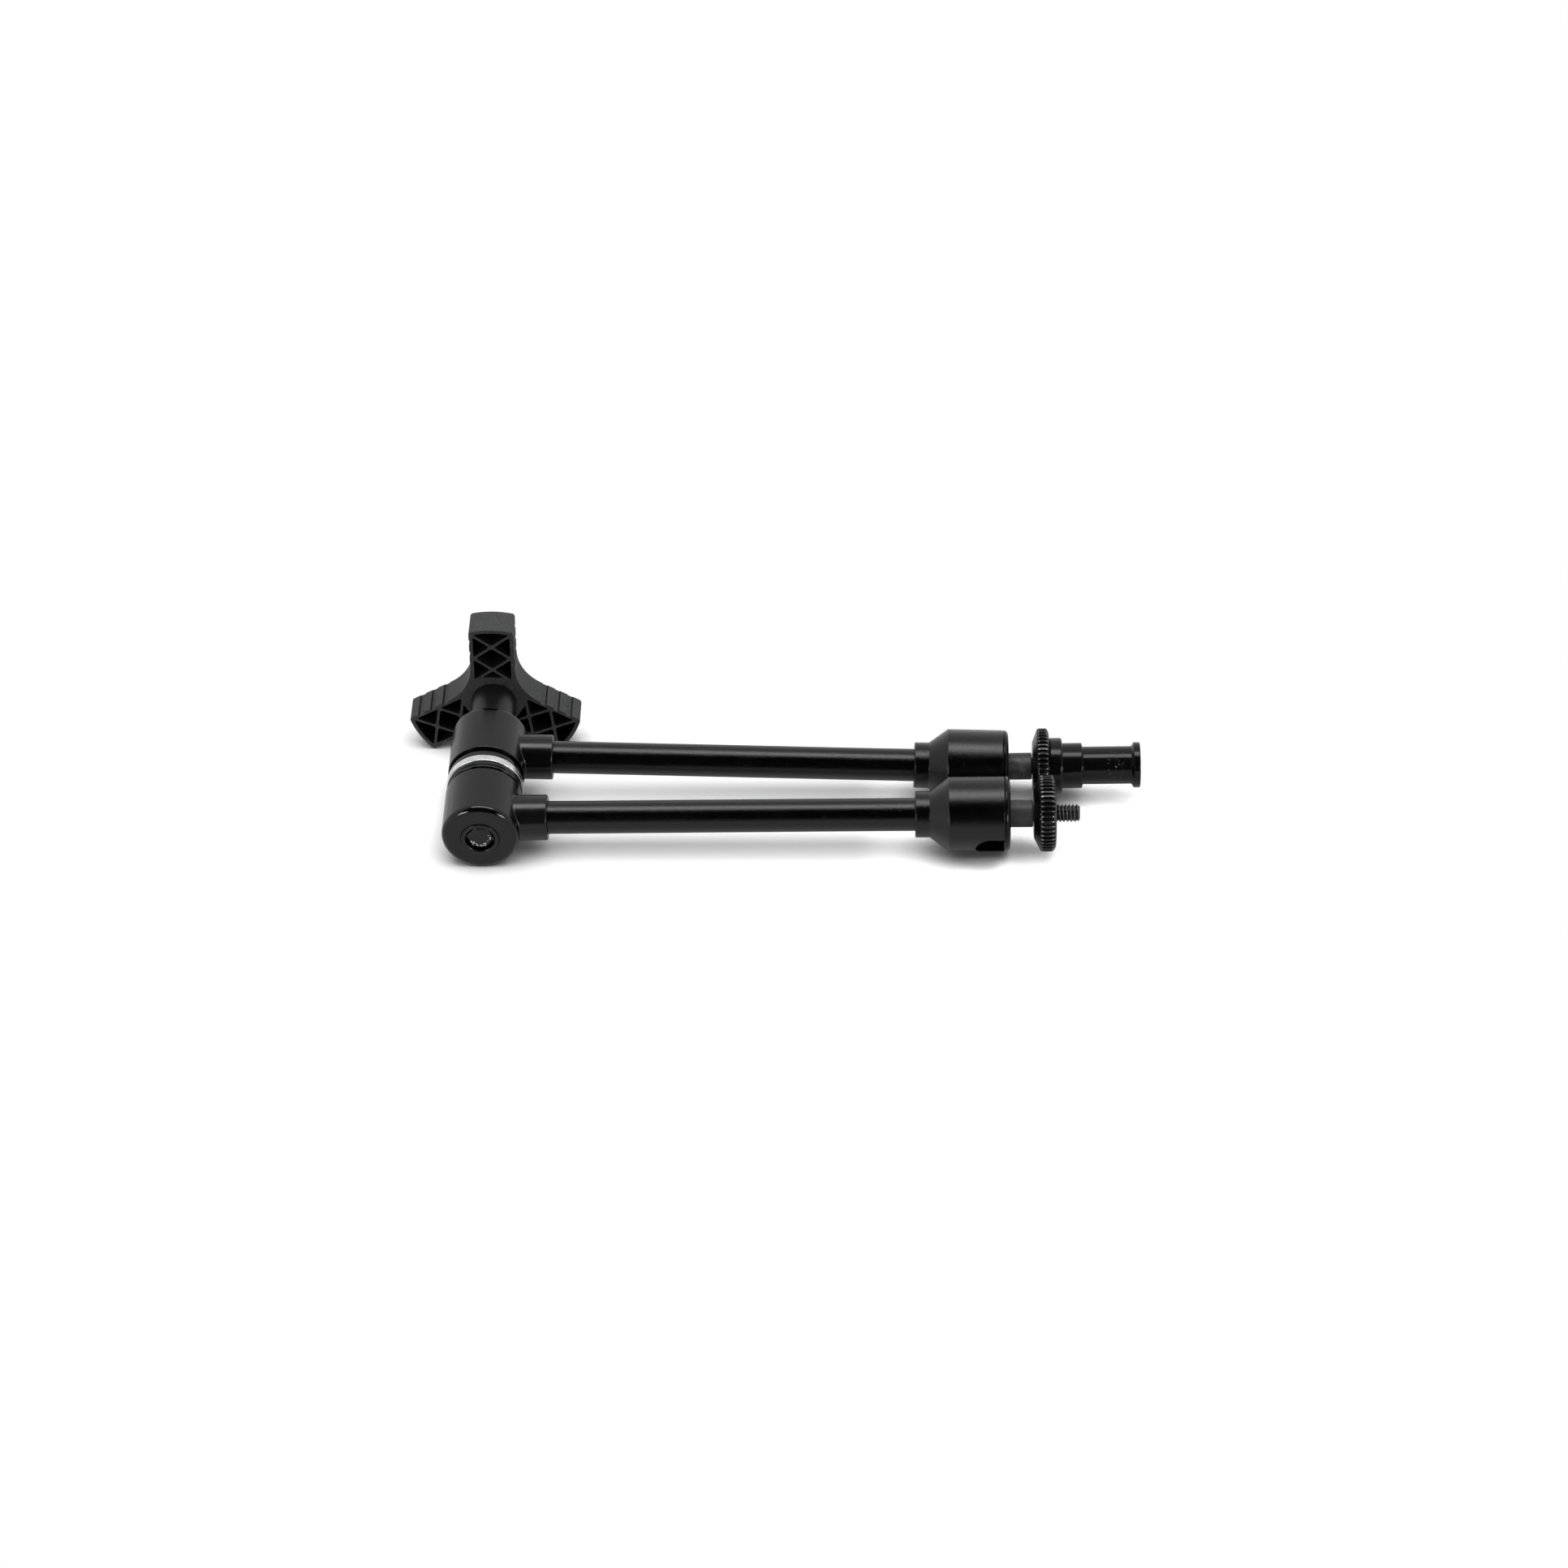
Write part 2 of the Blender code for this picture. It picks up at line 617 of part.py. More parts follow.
def lobe_prisms(outlines, start, end, corner_radius):
    """One bmesh of prisms, from outlines of (out, across) points repeated on every lobe."""
    bm = bmesh.new()
    for lobe in range(KNOB_LOBES):
        out, across = lobe_frame(lobe)
        for outline in outlines:
            one = prism([out * point.x + across * point.y for point in outline], start, end)
            upright = [edge for edge in one.edges if abs(edge.verts[0].co.y - edge.verts[1].co.y) > MM]
            if corner_radius:
                bmesh.ops.bevel(
                    one, geom=upright, offset=corner_radius, segments=2, profile=0.5, affect="EDGES"
                )
            mesh = bpy.data.meshes.new("prism")
            one.to_mesh(mesh)
            one.free()
            bm.from_mesh(mesh)
            bpy.data.meshes.remove(mesh)
    return bm


def knob_body(look, parent):
    """The moulded knob: closed behind, with an open lattice of ribs in front."""
    bm = prism(knob_outline(), KNOB_FRONT, KNOB_BACK)
    for place, fillet, segments in (
        (KNOB_FRONT, KNOB_FRONT_FILLET, 1),
        (KNOB_BACK, KNOB_BACK_FILLET, 2),
    ):
        rim = [
            edge for edge in bm.edges if all(abs(v.co.y - place) < CLEARANCE / 10 for v in edge.verts)
        ]
        bmesh.ops.bevel(bm, geom=rim, offset=fillet, segments=segments, profile=0.5, affect="EDGES")
    knob = solid("knob_body", bm, look, parent)
    cells = lobe_prisms(rib_cells(), KNOB_FRONT - 1 * MM, KNOB_BACK - KNOB_FLOOR, RIB_CORNER_RADIUS)
    combine(knob, solid("knob_body_cells", cells, None, parent), "DIFFERENCE")
    grooves = lobe_prisms(grip_grooves(), KNOB_FRONT - 1 * MM, KNOB_BACK + 1 * MM, 0)
    combine(knob, solid("knob_body_grip_grooves", grooves, None, parent), "DIFFERENCE")
    pocket_outline = hexagon(HUB_HEX_ACROSS_FLATS + 2 * CLEARANCE)
    bm = prism(pocket_outline, KNOB_FRONT - 1 * MM, HUB_HEX_END + CLEARANCE)
    pocket = solid("knob_body_hex_pocket", bm, None, parent)
    combine(knob, pocket, "DIFFERENCE")


def arm_tube(name, look, parent):
    """The tube, its ends in the elbow's boss and the ball housing's collar."""
    inner = TUBE_RADIUS - TUBE_WALL
    outline = [
        (TUBE_START, inner),
        (TUBE_START, TUBE_RADIUS),
        (TUBE_END, TUBE_RADIUS),
        (TUBE_END, inner),
    ]
    solid(name, spun(outline, sides=LARGE_ROUND), look, parent)


def push_rod(name, look, parent):
    """The rod from the cone to the ball's seat, with a round tip that rides on the cone."""
    flank_radius = CONE_SMALL_RADIUS + CONE_BEFORE_ROD * math.tan(CONE_ANGLE)
    tip_centre = flank_radius + (ROD_RADIUS + CLEARANCE) / math.cos(CONE_ANGLE)
    edge = 0.4 * MM
    outline = [
        *arc(tip_centre, 0, ROD_RADIUS, 180, 90, 5),
        (ROD_END - edge, ROD_RADIUS),
        (ROD_END, ROD_RADIUS - edge),
        (ROD_END, 0),
    ]
    outline[0] = (outline[0][0], 0)
    solid(name, spun(outline, sides=FINE_ROUND), look, parent)


def ball_housing(name, look, parent):
    """The bell at the arm's end: collar, shoulder and cylinder, with a slot beside the ball."""
    register = RETAINER_REGISTER_RADIUS + CLEARANCE
    rod_hole = ROD_RADIUS + CLEARANCE
    socket = TUBE_RADIUS + CLEARANCE
    register_start = BELL_END - RETAINER_REGISTER - CLEARANCE
    outline = [
        (COLLAR_START, socket),
        (COLLAR_START, COLLAR_RADIUS - COLLAR_CHAMFER),
        (COLLAR_START + COLLAR_CHAMFER, COLLAR_RADIUS),
        (COLLAR_END, COLLAR_RADIUS),
        (BELL_START, BELL_RADIUS),
        (BELL_END - BELL_EDGE, BELL_RADIUS),
        (BELL_END, BELL_RADIUS - BELL_EDGE),
        (BELL_END, register),
        (register_start, register),
        (register_start, CUP_RADIUS),
        (BELL_BORE_START, CUP_RADIUS),
        (BELL_BORE_START, rod_hole),
        (BELL_SOCKET_END, rod_hole),
        (BELL_SOCKET_END, socket),
    ]
    bell = solid(name, spun(outline), look, parent)
    half = SLOT_HALF_WIDTH
    length = BELL_END - BALL_CENTRE + 1 * MM
    slot_outline = [(length, -half), (length, half)]
    for step in range(13):
        turn = math.radians(90 + 15 * step)
        slot_outline.append((half * math.cos(turn), half * math.sin(turn)))
    bm = prism(slot_outline, SLOT_INNER_RADIUS, BELL_RADIUS + 1 * MM)
    slot = solid(name + "_slot", bm, None, parent, (BALL_CENTRE, 0, 0))
    slot.rotation_euler = (math.pi - SLOT_DIRECTION, 0, 0)
    combine(bell, slot, "DIFFERENCE")


def retaining_ring(name, look, parent):
    """The ring that screws into the bell's mouth and holds the ball by its spherical seat."""
    seat_start = BELL_END - RETAINER_REGISTER
    steps = 3
    seat = []
    for step in range(steps + 1):
        ahead = (seat_start - BALL_CENTRE) + (
            BALL_CENTRE + RETAINER_SEAT_END - seat_start
        ) * step / steps
        seat.append((BALL_CENTRE + ahead, math.sqrt(CUP_RADIUS**2 - ahead**2)))
    fillet = RETAINER_FILLET
    outline = [
        *seat,
        (RETAINER_FRONT, RETAINER_MOUTH_RADIUS),
        *arc(RETAINER_FRONT - fillet, BELL_RADIUS - fillet, fillet, 0, 90, 3),
        (RETAINER_BACK, BELL_RADIUS),
        (RETAINER_BACK, RETAINER_REGISTER_RADIUS),
        (seat_start, RETAINER_REGISTER_RADIUS),
    ]
    solid(name, spun(outline), look, parent)


def ball_seat(name, look, parent):
    """The cup that the push rod presses against the ball."""
    back = SEAT_BACK - BALL_CENTRE
    rim = -math.sqrt(CUP_RADIUS**2 - SEAT_RIM_RADIUS**2)
    outer = CUP_RADIUS - CLEARANCE
    edge = 0.4 * MM
    first = math.degrees(math.atan2(SEAT_RIM_RADIUS, rim))
    outline = [
        (back, 0),
        (back, outer - edge),
        (back + edge, outer),
        (rim, outer),
        *arc(0, 0, CUP_RADIUS, first, 180, 5),
    ]
    outline[-1] = (outline[-1][0], 0)
    solid(name, spun(outline, sides=SMALL_ROUND), look, parent)


def ball_stud(name, look, parent):
    """Ball, stem and screw in one turned piece, about the ball's centre."""
    neck = math.degrees(math.asin(STEM_RADIUS / BALL_RADIUS))
    stem_end = STEM_END - BALL_CENTRE
    screw_end = SCREW_END - BALL_CENTRE
    outline = [
        *arc(0, 0, BALL_RADIUS, 180, neck, 9),
        (stem_end - STEM_CHAMFER, STEM_RADIUS),
        (stem_end, STEM_RADIUS - STEM_CHAMFER),
        (stem_end, SCREW_RADIUS),
        (screw_end - SCREW_CHAMFER, SCREW_RADIUS),
        (screw_end, SCREW_RADIUS - SCREW_CHAMFER),
        (screw_end, 0),
    ]
    outline[0] = (-BALL_RADIUS, 0)
    solid(name, spun(outline, sides=SMALL_ROUND), look, parent)


def lock_wheel(name, look, parent):
    """The knurled wheel on the screw, cut with teeth, dished behind and chamfered in front."""
    root = WHEEL_RADIUS - WHEEL_TOOTH_DEPTH
    sections = (
        (0, WHEEL_BACK_RADIUS, WHEEL_BACK_RADIUS),
        (WHEEL_BACK_CONE, WHEEL_RADIUS, root),
        (WHEEL_BACK_CONE + WHEEL_KNURL, WHEEL_RADIUS, root),
        (WHEEL_FRONT - WHEEL_BACK, root - WHEEL_FRONT_CHAMFER / 4, root - WHEEL_FRONT_CHAMFER / 4),
    )
    pitch = math.tau / WHEEL_TEETH
    bm = bmesh.new()
    rings = []
    for along, tip_radius, root_radius in sections:
        ring = []
        for tooth in range(WHEEL_TEETH):
            for share, radius in ((-0.26, tip_radius), (0.26, tip_radius), (0.5, root_radius)):
                turn = pitch * (tooth + share)
                place = (along, radius * math.cos(turn), radius * math.sin(turn))
                ring.append(bm.verts.new(place))
        rings.append(ring)
    count = len(rings[0])
    for lower, upper in zip(rings, rings[1:]):
        for i in range(count):
            bm.faces.new((lower[i], lower[(i + 1) % count], upper[(i + 1) % count], upper[i]))
    bm.faces.new(rings[0])
    bm.faces.new(rings[-1])
    place = (WHEEL_BACK - BALL_CENTRE, 0, 0)
    wheel = solid(name, bm, look, parent, place)
    bore = SCREW_RADIUS + CLEARANCE
    end = WHEEL_FRONT - WHEEL_BACK + 1 * MM
    drill_outline = [(-1 * MM, 0), (-1 * MM, bore), (end, bore), (end, 0)]
    drill = solid(name + "_bore", spun(drill_outline, sides=FINE_ROUND), None, parent, place)
    combine(wheel, drill, "DIFFERENCE")


def spigot_adapter(look, parent):
    """The 16 mm spigot screwed on the far stud: shoulder, land, locking neck and flange."""
    land = SPIGOT_START + SPIGOT_SHOULDER_LENGTH
    neck = land + SPIGOT_LAND_LENGTH
    flange = neck + SPIGOT_NECK_LENGTH
    end = flange + SPIGOT_FLANGE_LENGTH
    edge = SPIGOT_EDGE
    bore = SCREW_RADIUS + CLEARANCE
    bore_end = SCREW_END + CLEARANCE
    outline = [
        (SPIGOT_START, bore),
        (SPIGOT_START, SPIGOT_SHOULDER_RADIUS - edge),
        (SPIGOT_START + edge, SPIGOT_SHOULDER_RADIUS),
        (land - edge, SPIGOT_SHOULDER_RADIUS),
        (land, SPIGOT_SHOULDER_RADIUS - edge),
        (land, SPIGOT_RADIUS),
        (neck - edge, SPIGOT_RADIUS),
        (neck, SPIGOT_RADIUS - edge),
        (neck + edge, SPIGOT_NECK_RADIUS),
        (flange - edge, SPIGOT_NECK_RADIUS),
        (flange, SPIGOT_RADIUS - edge),
        (flange + edge, SPIGOT_RADIUS),
        (end - edge, SPIGOT_RADIUS),
        (end, SPIGOT_RADIUS - edge),
        (end, 0),
        (bore_end, 0),
        (bore_end, bore),
    ]
    outline = [(along - BALL_CENTRE, radius) for along, radius in outline]
    half = outline.index((end - BALL_CENTRE, 0))
    body = solid("spigot_adapter", spun([(outline[0][0], 0)] + outline[:half + 1]), look, parent)
    drill_outline = [
        (outline[0][0] - 1 * MM, 0),
        (outline[0][0] - 1 * MM, bore),
        (bore_end - BALL_CENTRE, bore),
        (bore_end - BALL_CENTRE, 0),
    ]
    drill = solid("spigot_adapter_bore", spun(drill_outline, sides=FINE_ROUND), None, parent)
    combine(body, drill, "DIFFERENCE")


def world_points(names):
    """The corners of these objects as they are evaluated."""
    graph = bpy.context.evaluated_depsgraph_get()
    points = []
    for name in names:
        shown = bpy.data.objects[name].evaluated_get(graph)
        mesh = shown.to_mesh()
        points += [shown.matrix_world @ vertex.co for vertex in mesh.vertices]
        shown.to_mesh_clear()
    return points


def lie_on_table(root, groups):
    """Turn and lift everything so that the three groups that touch a table lie on it."""
    bpy.context.view_layer.update()
    supports = [world_points(names) for names in groups]
    up = Vector((0, 0, 1))
    for _ in range(8):
        low = [min(points, key=up.dot) for points in supports]
        up = (low[1] - low[0]).cross(low[2] - low[0]).normalized()
        up = up if up.z > 0 else -up
    root.rotation_mode = "QUATERNION"
    root.rotation_quaternion = up.rotation_difference(Vector((0, 0, 1)))
    bpy.context.view_layer.update()
    names = [item.name for item in bpy.data.objects if item.type == "MESH" and not item.hide_render]
    points = world_points(names)
    low = Vector([min(point[i] for point in points) for i in range(3)])
    high = Vector([max(point[i] for point in points) for i in range(3)])
    root.location = (-(low.x + high.x) / 2, -(low.y + high.y) / 2, -low.z)
    bpy.context.view_layer.update()


def main():
    """Build the arm, folded, and lay it on the table."""
    for item in list(bpy.data.objects):
        bpy.data.objects.remove(item)

    satin_black = material("satin_black_metal", (0.012, 0.012, 0.013), 0.6, 0.38)
    gloss_black = material("gloss_black_powder_coat", (0.01, 0.01, 0.011), 0.0, 0.2)
    stem_black = material("blackened_steel", (0.03, 0.03, 0.032), 0.8, 0.35)
    bright_steel = material("bright_steel", (0.75, 0.75, 0.74), 1.0, 0.25)
    black_fibre = material("black_fibre", (0.02, 0.02, 0.02), 0.0, 0.5)
    brass = material("brass", (0.7, 0.5, 0.2), 1.0, 0.35)
    spring_steel = material("spring_steel", (0.5, 0.5, 0.5), 1.0, 0.3)
    knob_plastic = material("matte_grey_plastic", (0.035, 0.035, 0.037), 0.0, 0.6)

    root = empty("friction_arm")
    pivot = empty("elbow_pivot", root)
    near_pivot = empty("near_arm_pivot", root, turned_about_y=-NEAR_ARM_RAISED)
    near_arm = empty("near_arm_axis", near_pivot, (0, -ARM_OFFSET, 0))
    far_arm = empty("far_arm_axis", root, (0, ARM_OFFSET, 0))
    near_ball = empty("near_ball_centre", near_arm, (BALL_CENTRE, 0, 0))
    far_seat_frame = empty("far_seat_centre", far_arm, (BALL_CENTRE, 0, 0))
    far_ball = empty("far_ball_centre", far_arm, (BALL_CENTRE, 0, 0), -FAR_STEM_RAISED)

    near_elbow_housing(satin_black, near_arm)
    far_elbow_housing(satin_black, far_arm)
    friction_ring("near_friction_ring", -1, black_fibre, near_pivot)
    friction_ring("far_friction_ring", 1, black_fibre, pivot)
    elbow_washer(bright_steel, pivot)
    wedge_cone("near_wedge_cone", -1, bright_steel, near_pivot)
    wedge_cone("far_wedge_cone", 1, bright_steel, pivot)
    draw_bolt(gloss_black, near_pivot)
    release_spring(spring_steel, pivot)
    thrust_washer(bright_steel, pivot)
    knob_hub(satin_black, pivot)
    knob_body(knob_plastic, pivot)
    for side, arm, seat_frame, ball in (
        ("near", near_arm, near_ball, near_ball),
        ("far", far_arm, far_seat_frame, far_ball),
    ):
        arm_tube(side + "_tube", gloss_black, arm)
        push_rod(side + "_push_rod", bright_steel, arm)
        ball_housing(side + "_ball_housing", satin_black, arm)
        retaining_ring(side + "_retaining_ring", satin_black, arm)
        ball_seat(side + "_ball_seat", brass, seat_frame)
        ball_stud(side + "_ball_stud", stem_black, ball)
        lock_wheel(side + "_lock_wheel", satin_black, ball)
    spigot_adapter(satin_black, far_ball)

    lie_on_table(root, (["near_elbow_housing"], ["knob_body"], ["far_lock_wheel", "far_ball_housing"]))


main()
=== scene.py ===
"""Looks, light and camera for the folding friction arm."""

import json
import math

import bmesh
import bpy
from mathutils import Matrix, Vector, noise


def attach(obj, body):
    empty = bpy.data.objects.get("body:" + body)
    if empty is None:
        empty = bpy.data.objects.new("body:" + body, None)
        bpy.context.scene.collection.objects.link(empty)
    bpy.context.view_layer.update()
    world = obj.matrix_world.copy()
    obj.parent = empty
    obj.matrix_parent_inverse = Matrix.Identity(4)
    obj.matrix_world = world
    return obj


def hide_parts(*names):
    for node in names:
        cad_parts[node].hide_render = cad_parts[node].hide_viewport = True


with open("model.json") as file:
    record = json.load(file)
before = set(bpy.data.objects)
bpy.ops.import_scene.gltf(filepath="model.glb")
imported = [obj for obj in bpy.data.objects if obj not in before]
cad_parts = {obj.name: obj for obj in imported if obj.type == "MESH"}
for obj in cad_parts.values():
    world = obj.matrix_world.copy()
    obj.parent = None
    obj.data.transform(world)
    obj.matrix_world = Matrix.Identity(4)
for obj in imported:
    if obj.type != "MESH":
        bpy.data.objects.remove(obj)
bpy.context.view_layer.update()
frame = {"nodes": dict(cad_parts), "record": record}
MM = 0.001

# Sizes along the pivot (outward from the elbow's middle) and along an arm, in millimetres, as in the CAD
GAP = 0.3
ARM_OFFSET = 16.8
HOUSING_RADIUS = 13.35
HOUSING_START = 5.8
HOUSING_END = 27.8
BORE_RADIUS = 8.3
END_WALL = 23.1
BOSS_RADIUS = 7.9
BOSS_REACH = 22.8
BOSS_SOCKET = 13.8
JUNCTION_FILLET = 0.8
HUB_START = 24.1
HUB_SHOULDER = 47.0
HUB_HEX_END = 55.0
KNOB_FRONT = 47.3
KNOB_BACK = 58.9
KNOB_RADIUS = 31.75
KNOB_PHASE = math.radians(0.9)
LOBE_HALF_WIDTH = 7.9
TUBE_RADIUS = 5.7
COLLAR_START = 149.3
COLLAR_END = 154.3
BELL_START = 160.9
BELL_END = 179.9
BELL_RADIUS = 12.9
BALL_CENTRE = 174.9
WHEEL_BACK = 190.1
WHEEL_FRONT = 197.0
SCREW_END = 205.9
BALL_RADIUS = 8.3
CUP_RADIUS = 8.6
CUP_START = 162.9
CUP_END = 177.4
STEM_RADIUS = 4.7
TUBE_END = 156.7
TUBE_BORE_RADIUS = 4.3
ROD_BORE_RADIUS = 2.8
ROD_BORE_START = 157.0
MOUTH_RADIUS = 10.3
RING_FRONT = 181.9
REGISTER_START = 177.7
REGISTER_RADIUS = 10.0
SLOT_HALF_WIDTH = 5.0
SLOT_FLOOR = 6.5
SLOT_TURN = math.radians(28)
BOLT_RADIUS = 3.0
SCREW_PITCH = 1.27
WHEEL_TEETH = 46
HEX_CORNER_RADIUS = 6.93

# Sizes that follow the photograph and not the CAD: the bolt's painted head, and where each wheel starts
# and how wide it is
HEAD_TOP = -27.45
HEAD_BOTTOM = -22.6
HEAD_APOTHEM = 4.1
WHEEL_SHIFT = {"near": 0.0, "far": 0.7}
WHEEL_STRETCH = {"near": 1.09, "far": 0.84}

record_joints = {joint["name"]: joint for joint in frame["record"]["behaviour"]["joints"]}


def axes(x_axis, y_axis, origin):
    """A frame with X along one direction and Y near another, in metres."""
    x = Vector(x_axis).normalized()
    z = x.cross(Vector(y_axis)).normalized()
    y = z.cross(x)
    made = Matrix((x, y, z)).transposed().to_4x4()
    made.translation = origin
    return made


SIDES = ("near", "far")
pivot = Vector(record_joints["elbow_fold"]["pos_m"])
pivot_axis = Vector(record_joints["elbow_fold"]["axis"]).normalized()
arm_axis = {side: Vector(record_joints[side + "_ball_swivel"]["axis"]) for side in SIDES}
ball = {side: Vector(record_joints[side + "_ball_swivel"]["pos_m"]) for side in SIDES}
stem_axis = {side: Vector(record_joints[side + "_wheel_turn"]["axis"]) for side in SIDES}
SIGN = {"near": -1, "far": 1}
ELBOW = axes(arm_axis["far"], pivot_axis, pivot)
NEAR_ELBOW = axes(arm_axis["near"], pivot_axis, pivot)
ARM = {
    side: axes(arm_axis[side], pivot_axis, pivot + pivot_axis * SIGN[side] * ARM_OFFSET * MM)
    for side in SIDES
}
STEM = {side: axes(stem_axis[side], pivot_axis, ball[side]) for side in SIDES}


# Materials

def shader_of(name, metallic, roughness, specular=0.36):
    """A new material, its node tree and its Principled shader. Paint and plastic reflect a little less."""
    made = bpy.data.materials.new(name)
    made.use_nodes = True
    tree = made.node_tree
    shader = tree.nodes["Principled BSDF"]
    shader.inputs["Metallic"].default_value = metallic
    shader.inputs["Roughness"].default_value = roughness
    if not metallic:
        shader.inputs["Specular IOR Level"].default_value = specular
    return made, tree, shader


def node(tree, kind, settings=None, **inputs):
    """A node with its properties and inputs set. A socket given as an input is linked."""
    made = tree.nodes.new(kind)
    for key, value in (settings or {}).items():
        setattr(made, key, value)
    for key, value in inputs.items():
        slot = made.inputs[int(key[1:])] if key[0] == "i" and key[1:].isdigit() else made.inputs[key]
        if isinstance(value, bpy.types.NodeSocket):
            tree.links.new(value, slot)
        else:
            slot.default_value = value
    return made


def maths(tree, operation, first, second):
    """One sum on two numbers or sockets."""
    return node(tree, "ShaderNodeMath", {"operation": operation}, i0=first, i1=second).outputs[0]


def vector_maths(tree, operation, first, second=(0, 0, 0), output="Vector"):
    """One sum on vectors, which gives a vector or a value."""
    made = node(tree, "ShaderNodeVectorMath", {"operation": operation}, i0=first, i1=second)
    return made.outputs[output]


def place(tree):
    """The surface point in metres, fixed to the piece."""
    return node(tree, "ShaderNodeTexCoord").outputs["Object"]


def marked(tree):
    """What mark_wear_and_glint stores on the mesh."""
    return node(tree, "ShaderNodeAttribute", {"attribute_name": "wear"}).outputs["Fac"]


def mapped(tree, value, low, high, to_low, to_high):
    """A value stretched from one range to another, and clamped."""
    ends = {"i1": low, "i2": high, "i3": to_low, "i4": to_high}
    return node(tree, "ShaderNodeMapRange", {"clamp": True}, Value=value, **ends).outputs[0]


def blended(tree, share, first, second):
    """Two colours mixed by a value. Each is a colour or a socket."""
    mix = tree.nodes.new("ShaderNodeMix")
    mix.data_type = "RGBA"
    tree.links.new(share, mix.inputs["Factor"])
    for slot, value in ((mix.inputs[6], first), (mix.inputs[7], second)):
        if isinstance(value, bpy.types.NodeSocket):
            tree.links.new(value, slot)
        else:
            slot.default_value = (*value, 1)
    return mix.outputs[2]


def grey(value, tint=0.0):
    """A grey, or a slightly blue one."""
    return (value, value * (1 + tint * 0.5), value * (1 + tint))


def noisy(tree, where, scale, detail=3.0, rough=0.55):
    """A noise of 0 to 1, whose scale is in cells to the metre."""
    made = node(tree, "ShaderNodeTexNoise", None, Vector=where, Scale=scale, Detail=detail, Roughness=rough)
    return made.outputs["Fac"]


def specks(tree, where, scale, share):
    """Sparse round pimples: 1 in the middle of a share of the cells, 0 elsewhere."""
    cells = node(tree, "ShaderNodeTexVoronoi", None, Vector=where, Scale=scale)
    pick = node(tree, "ShaderNodeSeparateColor", None, Color=cells.outputs["Color"]).outputs[0]
    dome = mapped(tree, cells.outputs["Distance"], 0.45, 0.0, 0.0, 1.0)
    return maths(tree, "MULTIPLY", maths(tree, "LESS_THAN", pick, share), dome)


def add(tree, first, second, weight):
    """The first value plus a weighted second one."""
    made = node(tree, "ShaderNodeMath", {"operation": "MULTIPLY_ADD"}, i0=second, i1=weight, i2=first)
    return made.outputs[0]


def bump(tree, shader, height, depth):
    """Bump the shader by a height of 0 to 1 that stands for a depth in metres."""
    made = node(tree, "ShaderNodeBump", None, Height=height, Distance=depth, Strength=1.0)
    tree.links.new(made.outputs["Normal"], shader.inputs["Normal"])


def roughened(tree, shader, texture, low, high):
    """Let a noise's middle range vary the roughness."""
    tree.links.new(mapped(tree, texture, 0.3, 0.7, low, high), shader.inputs["Roughness"])


def painted_metal(
    name, colour, roughness, grain, grain_depth, speck_share=0.0, speck_depth=0.0, polish=0.0, specular=0.36,
):
    """Black painted or anodised metal: mottled, finely grained, with a few pimples, glossier where marked."""
    made, tree, shader = shader_of(name, 0.0, roughness, specular)
    where = place(tree)
    mottle = noisy(tree, where, 90.0, 4.0)
    fine = noisy(tree, where, grain, 2.0)
    colours = blended(tree, mapped(tree, mottle, 0.35, 0.7, 0, 1), grey(colour * 0.75), grey(colour * 1.3))
    tree.links.new(colours, shader.inputs["Base Color"])
    rough = mapped(tree, mottle, 0.3, 0.75, roughness - 0.04, roughness + 0.06)
    if polish:
        rough = add(tree, rough, marked(tree), -polish)
    tree.links.new(rough, shader.inputs["Roughness"])
    height = fine
    if speck_share:
        pimples = specks(tree, where, 2300.0, speck_share)
        height = add(tree, fine, pimples, speck_depth / grain_depth)
    bump(tree, shader, height, grain_depth)
    return made


def turned_steel(name, colour, roughness, axis, depth, patch=0.0, metallic=1.0):
    """Steel with fine turning lines round an axis, and brighter grainy patches."""
    made, tree, shader = shader_of(name, metallic, roughness)
    where = place(tree)
    along = vector_maths(tree, "DOT_PRODUCT", where, tuple(axis), "Value")
    lines = node(
        tree, "ShaderNodeTexNoise", {"noise_dimensions": "1D"}, W=along, Scale=7000.0, Detail=2.0
    ).outputs["Fac"]
    mottle = noisy(tree, where, 260.0, 4.0)
    fine = noisy(tree, where, 3200.0, 2.0)
    colours = blended(tree, mapped(tree, mottle, 0.3, 0.75, 0, 1), grey(colour * 0.8), grey(colour * 1.15))
    if patch:
        frost = mapped(tree, maths(tree, "MULTIPLY", mottle, fine), 0.3, 0.38, 0.0, patch)
        colours = blended(tree, frost, colours, grey(0.3))
    tree.links.new(colours, shader.inputs["Base Color"])
    roughened(tree, shader, lines, roughness - 0.06, roughness + 0.08)
    bump(tree, shader, add(tree, fine, lines, 0.8), depth)
    return made


housing_paint = painted_metal("satin_black_housing", 0.002, 0.22, 2600.0, 6e-6, polish=0.12)
bell_paint = painted_metal("grained_black_bell", 0.0012, 0.13, 3300.0, 7.5e-5, 0.04, 5e-5)
tube_paint = painted_metal("gloss_black_tube", 0.0012, 0.11, 3300.0, 7e-5, 0.1, 5e-5)
fitting_paint = painted_metal("satin_black_fitting", 0.0014, 0.2, 2200.0, 2e-5, specular=0.2)
hub_paint = painted_metal("matt_black_hub", 0.002, 0.36, 2200.0, 2e-5)
ring_paint = painted_metal("gloss_black_ring", 0.0018, 0.10, 2600.0, 4e-6)
bright_steel = turned_steel("bright_washer_steel", 0.74, 0.24, pivot_axis, 4e-6)
plain_steel = turned_steel("plain_steel", 0.55, 0.3, pivot_axis, 4e-6)
stem_steel = {
    side: turned_steel(side + "_stem_steel", 0.03, 0.46, stem_axis[side], 3.2e-5, frost, 0.0)
    for side, frost in (("near", 0.08), ("far", 0.2))
}


